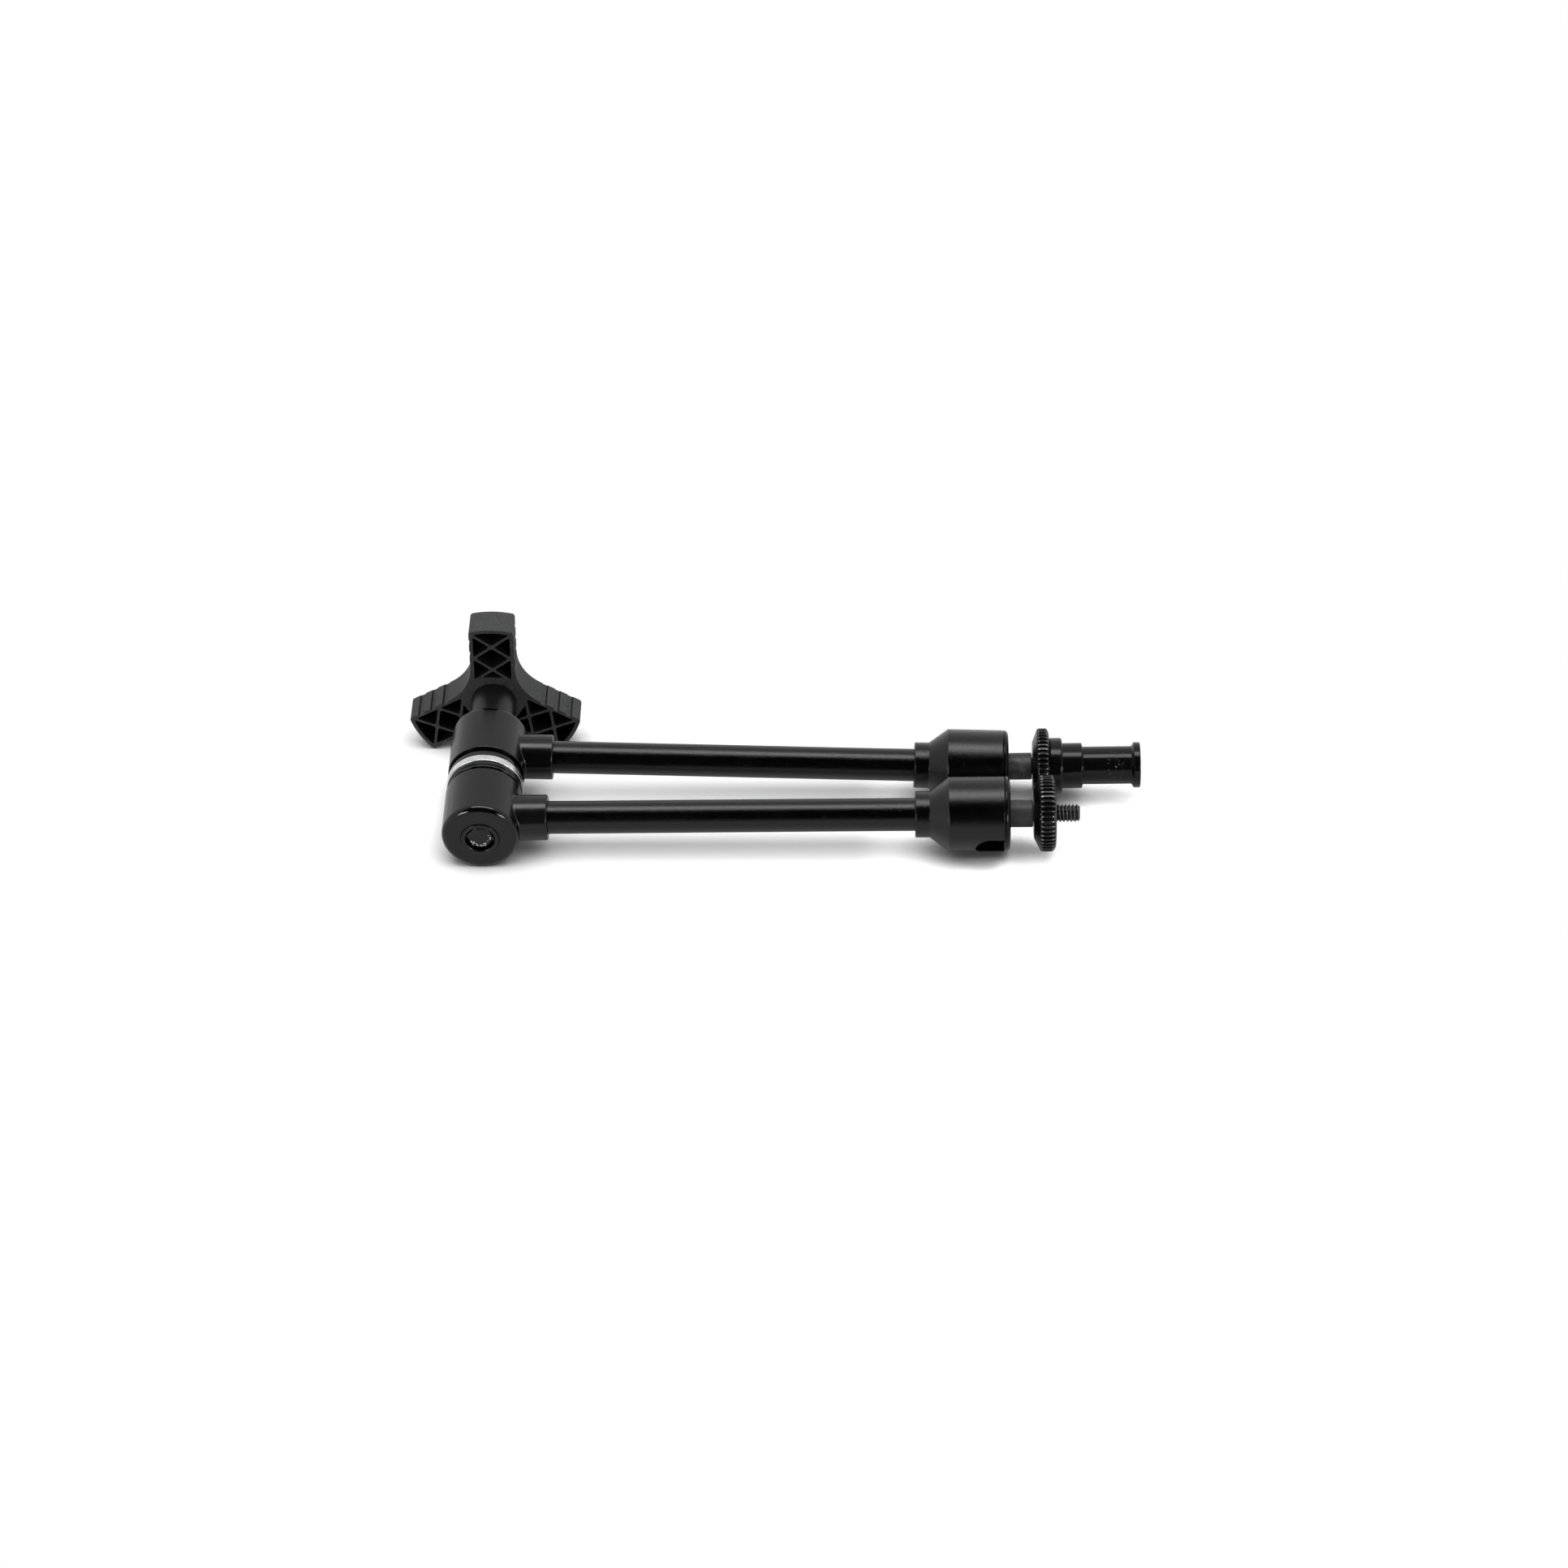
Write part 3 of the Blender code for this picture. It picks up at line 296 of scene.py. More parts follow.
def wear_and_glint_metal(name, colour, roughness, wear_and_glint_colour):
    """Black metal made paler and more metallic where the mesh's wear attribute marks it: rubbed edges on the
    wheels and screw, and a painted highlight on the bolt's paint.
    """
    made, tree, shader = shader_of(name, 0.0, roughness)
    where = place(tree)
    mottle = noisy(tree, where, 700.0, 4.0)
    fine = noisy(tree, where, 2600.0, 2.0)
    wear_and_glint_share = maths(tree, "MULTIPLY", marked(tree), mapped(tree, mottle, 0.3, 0.6, 0.2, 1.0))
    dark = blended(tree, mottle, grey(colour * 0.8), grey(colour * 1.3))
    tree.links.new(blended(tree, wear_and_glint_share, dark, grey(wear_and_glint_colour)), shader.inputs["Base Color"])
    tree.links.new(mapped(tree, wear_and_glint_share, 0, 1, 0, 0.8), shader.inputs["Metallic"])
    roughened(tree, shader, fine, roughness - 0.05, roughness + 0.07)
    bump(tree, shader, fine, 1.2e-5)
    return made


wheel_metal = wear_and_glint_metal("knurled_black_wheel", 0.002, 0.24, 0.45)
# The bolt's paint gets a painted highlight, not wear, where its marks are set
glinting_bolt_paint = wear_and_glint_metal("wet_black_paint_painted_glint", 0.0018, 0.12, 0.75)
screw_metal = wear_and_glint_metal("black_screw_thread", 0.006, 0.26, 0.40)


def scuffed_spigot(name):
    """Gloss black with rubbed marks where a clamping screw has bitten, beside the flange."""
    made, tree, shader = shader_of(name, 0.0, 0.17, 0.24)
    where = place(tree)
    mottle = noisy(tree, where, 90.0, 4.0)
    fine = noisy(tree, where, 2600.0, 2.0)
    scratches = noisy(tree, where, 620.0, 5.0, 0.75)
    marks = maths(tree, "MULTIPLY", marked(tree), mapped(tree, scratches, 0.57, 0.62, 0.0, 1.0))
    dark = blended(tree, mottle, grey(0.0015), grey(0.003))
    tree.links.new(blended(tree, marks, dark, grey(0.2)), shader.inputs["Base Color"])
    tree.links.new(mapped(tree, marks, 0, 1, 0.17, 0.4), shader.inputs["Roughness"])
    bump(tree, shader, add(tree, fine, marks, -9.0), 1.5e-5)
    return made


spigot_paint = scuffed_spigot("scuffed_black_spigot")


def moulded_plastic(name):
    """Dark grey moulded plastic with a fine spark-eroded texture and paler fine flecks."""
    made, tree, shader = shader_of(name, 0.0, 0.62)
    where = place(tree)
    mottle = noisy(tree, where, 130.0, 4.0)
    fine = noisy(tree, where, 1700.0, 3.0, 0.6)
    colours = blended(tree, mapped(tree, mottle, 0.3, 0.7, 0, 1), grey(0.022, 0.03), grey(0.034, 0.03))
    colours = blended(tree, mapped(tree, fine, 0.42, 0.62, 0, 0.8), colours, grey(0.065, 0.03))
    tree.links.new(colours, shader.inputs["Base Color"])
    roughened(tree, shader, fine, 0.54, 0.7)
    bump(tree, shader, fine, 1.1e-4)
    return made


knob_plastic = moulded_plastic("textured_grey_plastic")
# A darker copy of the knob's plastic: painted shade for the lattice cells and groove walls
painted_shade_plastic = painted_metal("painted_shade_recess_plastic", 0.004, 0.55, 1700.0, 4e-5)


def simple_metal(name, colour, roughness):
    """Bare metal for hidden pieces, with a fine mottle."""
    made, tree, shader = shader_of(name, 1.0, roughness)
    mottle = noisy(tree, place(tree), 900.0, 4.0)
    dark, pale = (tuple(c * gain for c in colour) for gain in (0.8, 1.15))
    tree.links.new(blended(tree, mottle, dark, pale), shader.inputs["Base Color"])
    roughened(tree, shader, mottle, roughness - 0.05, roughness + 0.08)
    bump(tree, shader, mottle, 6e-6)
    return made


seat_brass = simple_metal("seat_brass", (0.7, 0.5, 0.2), 0.35)
spring_steel = simple_metal("spring_steel", (0.5, 0.5, 0.5), 0.3)


# Mesh helpers

def mesh_of(name, bm):
    """A mesh from a bmesh, which it frees."""
    mesh = bpy.data.meshes.new(name)
    bm.to_mesh(mesh)
    bm.free()
    return mesh


def object_of(name, data):
    """A new object in the scene."""
    made = bpy.data.objects.new(name, data)
    bpy.context.scene.collection.objects.link(made)
    return made


def placed(bm, matrix):
    """Turn a bmesh's faces outward, and bring it from millimetres in a frame to the world."""
    bmesh.ops.recalc_face_normals(bm, faces=bm.faces)
    bmesh.ops.transform(bm, matrix=matrix @ Matrix.Scale(MM, 4), verts=bm.verts)
    return bm


def shown(name, bm, look, body, nodes, matrix, sharp=40):
    """A finished piece from a bmesh in millimetres, placed by its frame, riding on a body for CAD nodes."""
    bmesh.ops.remove_doubles(bm, verts=bm.verts, dist=1e-5)
    mesh = mesh_of(name, placed(bm, matrix))
    mesh.shade_smooth()
    mesh.set_sharp_from_angle(angle=math.radians(sharp))
    mesh.materials.append(look)
    piece = object_of(name, mesh)
    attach(piece, body)
    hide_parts(*nodes)
    return piece


def ramp(value, start, width):
    """0 before the start, 1 from a width after it."""
    return min(1.0, max(0.0, (value - start) / width))


def peak(value, middle, width):
    """1 in the middle, 0 from a width away on both sides."""
    return max(0.0, 1 - abs(value - middle) / width)


def mark_wear_and_glint(piece, rule):
    """Store a value from 0 to 1 on each vertex by a rule of its place: wear on the wheels, screw and spigot,
    polish on the housing ends, painted highlight on the bolt.
    """
    layer = piece.data.attributes.new("wear", "FLOAT", "POINT")
    for vertex in piece.data.vertices:
        layer.data[vertex.index].value = rule(vertex.co)


def cutter(name, bm, matrix):
    """A tool for a Boolean, in the same frame as the piece."""
    return object_of(name, mesh_of(name, placed(bm, matrix)))


def cut(piece, *tools):
    """Cut tools out of a piece for good, and delete them."""
    for tool in tools:
        step = piece.modifiers.new("cut", "BOOLEAN")
        step.operation = "DIFFERENCE"
        step.solver = "EXACT"
        step.object = tool
    settle(piece)
    for tool in tools:
        bpy.data.objects.remove(tool)


def settle(piece):
    """Turn a piece's modifiers into its mesh."""
    graph = bpy.context.evaluated_depsgraph_get()
    graph.update()
    made = bpy.data.meshes.new_from_object(piece.evaluated_get(graph))
    piece.modifiers.clear()
    old = piece.data
    piece.data = made
    bpy.data.meshes.remove(old)


def soften(piece, width):
    """Round the sharp edges of a piece for good."""
    step = piece.modifiers.new("round", "BEVEL")
    step.width = width * MM
    step.segments = 3
    step.limit_method = "ANGLE"
    step.angle_limit = math.radians(38)
    step.use_clamp_overlap = True
    step.harden_normals = True
    settle(piece)


def arc(centre, height, radius, start, end, steps):
    """Points of an arc in an outline of (along, radius), from start to end in degrees."""
    points = []
    for step in range(steps + 1):
        angle = math.radians(start + (end - start) * step / steps)
        points.append((centre + radius * math.cos(angle), height + radius * math.sin(angle)))
    return points


def rounded(points, edge=0.2, steps=3, closed=False):
    """An outline with its corners rounded, and a point beside each round so that flats stay flat."""
    count = len(points)
    made = []
    for i, point in enumerate(points):
        here = Vector(point[:2])
        radius = point[2] if len(point) > 2 else edge
        if not closed and i in (0, count - 1):
            made.append(tuple(here))
            continue
        before = Vector(points[i - 1][:2]) - here
        after = Vector(points[(i + 1) % count][:2]) - here
        turn = math.pi - before.angle(after)
        if radius <= 0 or turn < math.radians(20):
            made.append(tuple(here))
            continue
        reach = min(radius * math.tan(turn / 2), before.length * 0.42, after.length * 0.42)
        first = here + before.normalized() * reach
        last = here + after.normalized() * reach
        beside = min(0.12, reach)
        if before.length > 2.6 * reach + beside:
            made.append(tuple(first + before.normalized() * beside))
        for step in range(steps + 1):
            share = step / steps
            made.append(tuple(
                first * (1 - share) ** 2 + here * 2 * share * (1 - share) + last * share**2
            ))
        if after.length > 2.6 * reach + beside:
            made.append(tuple(last + after.normalized() * beside))
    return made


def ring_points(bm, along, radius, sides, axis):
    """A ring of vertices, or one vertex on the axis."""
    if radius < 1e-6:
        return [bm.verts.new((along, 0, 0) if axis == "X" else (0, along, 0))]
    made = []
    for side in range(sides):
        turn = math.tau * side / sides
        across, up = radius * math.cos(turn), radius * math.sin(turn)
        made.append(bm.verts.new((along, across, up) if axis == "X" else (across, along, up)))
    return made


def bridge(bm, first, second):
    """Faces between two rings, either of which may be one vertex."""
    count = max(len(first), len(second))
    for i in range(count):
        j = (i + 1) % count
        corners = [
            first[i % len(first)], first[j % len(first)], second[j % len(second)], second[i % len(second)]
        ]
        unique = list(dict.fromkeys(corners))
        if len(unique) > 2:
            bm.faces.new(unique)


def skin(bm, rings):
    """Faces from each ring to the next."""
    for first, second in zip(rings, rings[1:]):
        bridge(bm, first, second)


def lathe(outline, sides=112, axis="X", closed=False):
    """A bmesh turned from an outline of (along, radius). A closed one has a hole through it."""
    bm = bmesh.new()
    rings = [ring_points(bm, along, radius, sides, axis) for along, radius in outline]
    skin(bm, rings + rings[:1] if closed else rings)
    return bm


def prism(outline, start, end):
    """A bmesh of an outline in X and Z, extruded along Y."""
    bm = bmesh.new()
    face = bm.faces.new([bm.verts.new((x, start, z)) for x, z in outline])
    grown = bmesh.ops.extrude_face_region(bm, geom=[face])
    moved = [item for item in grown["geom"] if isinstance(item, bmesh.types.BMVert)]
    bmesh.ops.translate(bm, verts=moved, vec=(0, end - start, 0))
    return bm


# Elbow

def elbow_shell(side, end_outline, fillet):
    """A housing with its boss, joined by a small rolling-ball fillet. Y is outward from the elbow.

    Loops fill a window in the shell, from the fillet out to the window's border.
    """
    sides, reach, rows, loops = 160, 20, 24, (0.0, 0.06, 0.3, 0.65, 1.0)
    big, small, ball_radius = HOUSING_RADIUS, BOSS_RADIUS, JUNCTION_FILLET
    inner_y = HOUSING_START + 0.35 - ARM_OFFSET
    outer_y = HOUSING_END - fillet - ARM_OFFSET
    step = math.tau / sides
    bm = bmesh.new()

    def on_shell(turn, y):
        return bm.verts.new((big * math.cos(turn), y, big * math.sin(turn)))

    heights = [inner_y + (outer_y - inner_y) * row / rows for row in range(rows + 1)]
    columns = {}
    for i in range(reach, sides - reach + 1):
        columns[i] = [on_shell(step * i, y) for y in heights]
    for i in range(reach, sides - reach):
        for row in range(rows):
            a, b = columns[i], columns[i + 1]
            bm.faces.new((a[row], b[row], b[row + 1], a[row + 1]))
    bottom = [columns[sides - reach][0]]
    bottom += [on_shell(step * i, inner_y) for i in range(1 - reach, reach)]
    bottom += [columns[reach][0]]
    top = [columns[sides - reach][-1]]
    top += [on_shell(step * i, outer_y) for i in range(1 - reach, reach)]
    top += [columns[reach][-1]]
    border = bottom + columns[reach][1:-1] + top[::-1] + columns[sides - reach][1:-1][::-1]
    spots = [(step * i, inner_y) for i in range(-reach, reach + 1)]
    spots += [(step * reach, y) for y in heights[1:-1]]
    spots += [(step * i, outer_y) for i in range(reach, -reach - 1, -1)]
    spots += [(-step * reach, y) for y in heights[1:-1][::-1]]

    turns = []
    for turn, y in spots:
        turns.append(math.atan2(turn / (step * reach), y / (outer_y if y > 0 else -inner_y)))
    rings = [[] for _ in loops]
    rings[-1] = border
    strip = [[] for _ in range(8)]
    for k, (turn, y) in enumerate(spots):
        round_boss = turns[k]
        centre_y = (small + ball_radius) * math.cos(round_boss)
        centre_z = (small + ball_radius) * math.sin(round_boss)
        centre_x = math.sqrt((big + ball_radius) ** 2 - centre_z**2)
        centre = Vector((centre_x, centre_y, centre_z))
        share = big / (big + ball_radius)
        low = Vector((centre_x * share, centre_y, centre_z * share)) - centre
        high = Vector((centre_x, small * math.cos(round_boss), small * math.sin(round_boss))) - centre
        foot = math.atan2(centre_z * share, centre_x * share)
        for j, loop in enumerate(loops[:-1]):
            rings[j].append(on_shell(foot + (turn - foot) * loop, centre_y + (y - centre_y) * loop))
        for j in range(1, len(strip) + 1):
            spot = centre + low.normalized().slerp(high.normalized(), j / len(strip)) * ball_radius
            strip[j - 1].append(bm.verts.new(spot))
    skin(bm, rings)
    bridge(bm, rings[0], strip[0])
    socket = TUBE_RADIUS + GAP
    boss_outline = rounded([
        (BOSS_REACH - 2.0, small), (BOSS_REACH, small, 0.7), (BOSS_REACH, socket, 0.12),
        (BOSS_SOCKET, socket, 0), (BOSS_SOCKET, 0),
    ], steps=5)
    for along, radius in boss_outline:
        around = turns if radius > 0 else [0.0]
        strip.append([bm.verts.new((along, radius * math.cos(t), radius * math.sin(t))) for t in around])
    skin(bm, strip)

    ends = [top[:-1] + [columns[i][-1] for i in range(reach, sides - reach)]]
    order = [(k - reach) * step for k in range(sides)]
    for along, radius in end_outline:
        y = along - ARM_OFFSET
        ends.append([bm.verts.new((radius * math.cos(t), y, radius * math.sin(t))) for t in order])
    ends.append(bottom[:-1] + [columns[i][0] for i in range(reach, sides - reach)])
    skin(bm, ends)
    if side == "near":
        bmesh.ops.scale(bm, vec=(1, -1, 1), verts=bm.verts)
    return bm


def polish_end(piece, side):
    """Mark the rounded outer end of a housing, which is glossier than its side."""
    back = ARM[side].inverted()
    inner_end = HOUSING_END - 2.3 - ARM_OFFSET
    mark_wear_and_glint(piece, lambda spot: float(SIGN[side] * (back @ spot).y / MM > inner_end))


inner_rim = [
    (HOUSING_START, BORE_RADIUS, 0.2), (HOUSING_START, HOUSING_RADIUS - 0.1, 0.3),
    (HOUSING_START + 0.3, HOUSING_RADIUS),
]
near_fillet, far_fillet = 2.2, 1.6
bead_top, hole_radius = HOUSING_END + 0.5, 5.05
near_end = [
    *arc(HOUSING_END - near_fillet, HOUSING_RADIUS - near_fillet, near_fillet, 80, 0, 9),
    *rounded([
        (HOUSING_END, 10.2), (HOUSING_END, 6.75, 0.08), (HOUSING_END - 0.2, 6.55, 0.05),
        (bead_top, 6.45, 0.55), (bead_top, hole_radius + 0.1, 0.55),
        (HOUSING_END - 0.8, hole_radius, 0.2), (END_WALL, hole_radius, 0),
        (END_WALL, BORE_RADIUS, 0), *inner_rim,
    ], steps=3),
]
far_end = [
    *arc(HOUSING_END - far_fillet, HOUSING_RADIUS - far_fillet, far_fillet, 80, 0, 7),
    *rounded([(HOUSING_END, 11.0), (HOUSING_END, BORE_RADIUS, 0.2), *inner_rim], steps=3),
]
for side, end_outline, fillet in (("near", near_end, near_fillet), ("far", far_end, far_fillet)):
    shell = shown(
        side + "_elbow_shell", elbow_shell(side, end_outline, fillet), housing_paint, side + "_arm",
        [side + "_elbow_housing"], ARM[side],
    )
    polish_end(shell, side)

ring_outline = rounded([
    (1.8, 5.5, 0), (1.8, 13.1, 0.3), (3.0, 13.1, 0.3), (3.3, 12.8, 0.1), (4.2, 12.8, 0.6),
    (4.2, 12.0, 0.15), (5.5, 12.0, 0.15), (5.5, 8.0, 0), (8.0, 8.0, 0), (8.0, 5.5, 0),
], steps=4, closed=True)
for side, where in (("near", NEAR_ELBOW), ("far", ELBOW)):
    shown(
        side + "_friction_collar",
        lathe([(SIGN[side] * along, radius) for along, radius in ring_outline], 128, "Y", True),
        ring_paint, side + "_arm", [side + "_friction_ring"], where,
    )
washer_outline = rounded([(-1.5, 5.5, 0), (-1.5, 13.3, 0.3), (1.5, 13.3, 0.3), (1.5, 5.5, 0)], closed=True)
shown(
    "elbow_washer_bright", lathe(washer_outline, 128, "Y", True), bright_steel, "far_arm",
    ["elbow_washer"], ELBOW,
)


def painted_head():
    """The bolt's hexagon head under thick wet-looking paint, with its plain shank."""
    bm = bmesh.new()
    sides, face_rows, all_rows = 180, 52, 72
    edge_height, edge_width, corner_radius = 0.45, 0.5, 4.65
    turned_by, drops_from = math.radians(9), math.radians(20)
    last_share = (all_rows - 1) / face_rows
    rings = []
    for k in range(1, all_rows):
        share = k / face_rows
        ring = []
        for i in range(sides):
            turn = math.tau * i / sides
            bend = (turn + turned_by) % math.radians(60) - math.radians(30)
            radius = min(HEAD_APOTHEM / math.cos(bend), corner_radius)
            if share <= 1:
                reach = share * radius
                edge = max(0.0, (reach - radius + edge_width) / edge_width)
                spot = Vector((reach * math.cos(turn), reach * math.sin(turn), 0.3))
                outer = ramp(share, 0.5, 0.15) * ramp(0.95 - share, 0.0, 0.12)
                lower = min(1.0, max(0.15, 0.5 - math.sin(turn - drops_from)))
                drops = max(0.0, noise.noise(spot * 1.5) + 0.03) * outer * lower
                swell = 0.05 * noise.noise(spot * 0.8) * min(1.0, share * 3)
                y = HEAD_TOP + edge_height * edge**2 - 1.1 * drops + swell
            else:
                reach = radius
                side_length = HEAD_BOTTOM - HEAD_TOP - edge_height
                y = HEAD_TOP + edge_height + side_length * (share - 1) / (last_share - 1)
            ring.append(bm.verts.new((reach * math.cos(turn), y, reach * math.sin(turn))))
        rings.append(ring)
    shank = rounded([(HEAD_BOTTOM, BOLT_RADIUS, 0), (53.0, BOLT_RADIUS, 0.4), (53.0, 0)], steps=2)
    rings += [ring_points(bm, along, radius, sides, "Y") for along, radius in shank]
    skin(bm, [[bm.verts.new((0, HEAD_TOP, 0))]] + rings)
    return bm


bolt = shown(
    "draw_bolt_painted", painted_head(), glinting_bolt_paint, "near_clamp", ["draw_bolt"],
    NEAR_ELBOW,
)
near_back = NEAR_ELBOW.inverted()


def painted_glint(point):
    """Painted highlight where the thick paint would catch the light: on its drops and along the head's edge.
    """
    above = HEAD_TOP - (near_back @ point).y / MM
    return ramp(above, 0.1, 0.08) + (0.22 if -0.35 < above < -0.06 else 0.0)


# These marks on the bolt are painted highlight, not wear
mark_wear_and_glint(bolt, painted_glint)

hub_outline = rounded([
    (HUB_START, 3.3, 0), (HUB_START, 8.0, 0.4), (HUB_SHOULDER, 8.0, 0.3), (HUB_SHOULDER, 5.9, 0),
    (HUB_HEX_END, 5.9, 0.2), (HUB_HEX_END, 3.3, 0),
], closed=True)
shown(
    "knob_hub_sleeve", lathe(hub_outline, 96, "Y", True), hub_paint, "knob", ["knob_hub"],
    ELBOW,
)


# Knob

def lobe_frame(lobe):
    """A lobe's outward direction and the one across it, seen along the pivot."""
    turn = math.radians(90) + KNOB_PHASE + math.tau * lobe / 3
    out = Vector((math.cos(turn), math.sin(turn)))
    return out, Vector((-out.y, out.x))


def knob_outline():
    """Three lobes with arcs at their ends and hollows between them, seen along the pivot."""
    corner, valley_radius = 1.2, 17.0
    aside = LOBE_HALF_WIDTH - corner
    centre = math.sqrt((KNOB_RADIUS - corner) ** 2 - aside**2)
    end_angle = math.atan2(aside, centre)
    flank = arc(centre, aside, corner, 90, math.degrees(end_angle), 6)
    half_turn = math.pi / 3
    distance = (LOBE_HALF_WIDTH + valley_radius) / math.sin(half_turn)
    last = math.degrees(2 * half_turn) - 270
    middle = (distance * math.cos(half_turn), distance * math.sin(half_turn))
    valley = arc(*middle, valley_radius, -90, last, 22)
    outline = []
    for lobe in range(3):
        out, across = lobe_frame(lobe)
        outline += [out * u - across * v for u, v in flank]
        for k in range(1, 12):
            turn = end_angle * (k / 6 - 1)
            outline.append(KNOB_RADIUS * (out * math.cos(turn) + across * math.sin(turn)))
        outline += [out * u + across * v for u, v in reversed(flank)]
        outline += [out * u + across * v for u, v in valley]
    return outline


def clipped(polygon, point, inward):
    """The part of a convex polygon on the inward side of a line through a point."""
    kept = []
    for start, end in zip(polygon, polygon[1:] + polygon[:1]):
        before, after = (start - point).dot(inward), (end - point).dot(inward)
        if before >= 0:
            kept.append(start)
        if before * after < 0:
            kept.append(start.lerp(end, before / (before - after)))
    return kept


def rib_cells():
    """The openings of one lobe's lattice, as polygons of (out, across) points."""
    wall, half_rib, rib_start = 1.35, 0.48, 9.0
    half_width = LOBE_HALF_WIDTH - wall
    half_height = (KNOB_RADIUS - 2.55 - rib_start) / 4
    slant = Vector((half_height, half_width)).normalized()
    pocket = [
        Vector((0, -half_width)), Vector((KNOB_RADIUS, -half_width)),
        Vector((KNOB_RADIUS, half_width)), Vector((0, half_width)),
    ]
    for turn in (-10, 0, 10):
        away = Vector((math.cos(math.radians(turn)), math.sin(math.radians(turn))))
        pocket = clipped(pocket, away * (KNOB_RADIUS - wall), -away)

    def beside(polygon, crossing, up, right):
        centre = Vector((rib_start + half_height * (2 * crossing + 1), 0))
        rising = Vector((slant.y, -slant.x)) * (1 if up else -1)
        falling = Vector((slant.y, slant.x)) * (1 if right else -1)
        polygon = clipped(polygon, centre + rising * half_rib, rising)
        return clipped(polygon, centre + falling * half_rib, falling)

    cells = []
    for crossing in range(2):
        cells.append(beside(pocket, crossing, True, False))
        cells.append(beside(pocket, crossing, False, True))
        below = beside(pocket, crossing, False, False)
        if crossing:
            below = beside(below, crossing - 1, True, True)
        else:
            below = clipped(below, Vector((rib_start + 1.5, 0)), Vector((1, 0)))
        cells.append(below)
    cells.append(beside(pocket, 1, True, True))
    return cells


def grip_grooves():
    """The grooves on both sides of one lobe, as polygons of (out, across) points."""
    outlines = []
    for groove in range(3):
        middle = KNOB_RADIUS - 5.75 - groove * 5.1
        for side in (-1, 1):
            outside, floor = side * (LOBE_HALF_WIDTH + 0.5), side * (LOBE_HALF_WIDTH - 0.7)
            outlines.append([
                Vector((middle - 1.3, outside)), Vector((middle - 0.95, floor)),
                Vector((middle + 0.95, floor)), Vector((middle + 1.3, outside)),
            ])
    return outlines


def lobe_prisms(outlines, start, end, corner_radius):
    """The same outlines extruded on all three lobes, with their upright corners rounded."""
    bm = bmesh.new()
    for lobe in range(3):
        out, across = lobe_frame(lobe)
        for outline in outlines:
            one = prism([out * point.x + across * point.y for point in outline], start, end)
            if corner_radius:
                upright = [edge for edge in one.edges if abs(edge.verts[0].co.y - edge.verts[1].co.y) > 1]
                bmesh.ops.bevel(
                    one, geom=upright, offset=corner_radius, segments=4, profile=0.5, affect="EDGES"
                )
            mesh = mesh_of("prism", one)
            bm.from_mesh(mesh)
            bpy.data.meshes.remove(mesh)
    return bm


def moulded_knob():
    """The knob with its lattice, grooves and hexagon pocket. Faces inside the lattice cells and on the groove
    walls take a darker plastic as painted shade.
    """
    bm = prism(knob_outline(), KNOB_FRONT, KNOB_BACK)
    rim = [edge for edge in bm.edges if all(abs(v.co.y - KNOB_BACK) < 0.03 for v in edge.verts)]
    bmesh.ops.bevel(bm, geom=rim, offset=1.0, segments=5, profile=0.5, affect="EDGES")
    knob = shown("knob_moulding", bm, knob_plastic, "knob", ["knob_body"], ELBOW, 30)
    cells = cutter("cells", lobe_prisms(rib_cells(), KNOB_FRONT - 1, KNOB_BACK - 2.2, 0.9), ELBOW)
    grooves = cutter("grooves", lobe_prisms(grip_grooves(), KNOB_FRONT - 1, KNOB_BACK + 1, 0), ELBOW)
    reach = HEX_CORNER_RADIUS * 1.06
    hexagon = []
    for corner in range(6):
        turn = math.radians(60 * corner)
        hexagon.append((reach * math.cos(turn), reach * math.sin(turn)))
    pocket = cutter("pocket", prism(hexagon, KNOB_FRONT - 1, HUB_HEX_END + GAP), ELBOW)
    cut(knob, cells, grooves, pocket)
    soften(knob, 0.3)
    knob.data.materials.append(painted_shade_plastic)
    back = ELBOW.inverted()
    wall, lattice_start, grooves_start, grooves_end = 1.2, 9.5, KNOB_RADIUS - 18, KNOB_RADIUS - 4
    # Faces deep in the lattice cells and on the groove walls take the darker plastic as painted shade
    for face in knob.data.polygons:
        local = (back @ face.center) / MM
        for lobe in range(3):
            out, across = lobe_frame(lobe)
            spot = Vector((local.x, local.z))
            reach, aside = spot.dot(out), abs(spot.dot(across))
            inside = lattice_start < reach < KNOB_RADIUS - wall and aside < LOBE_HALF_WIDTH - wall
            facing = back.to_3x3() @ face.normal
            slope = abs(Vector((facing.x, facing.z)).dot(out)) / max(1e-6, facing.length)
            in_groove = grooves_start < reach < grooves_end and aside > LOBE_HALF_WIDTH - 0.9
            groove_wall = in_groove and slope > 0.6
            if (inside or groove_wall) and KNOB_FRONT + 0.7 < local.y < KNOB_BACK - 1:
                face.material_index = 1


moulded_knob()


# Arms

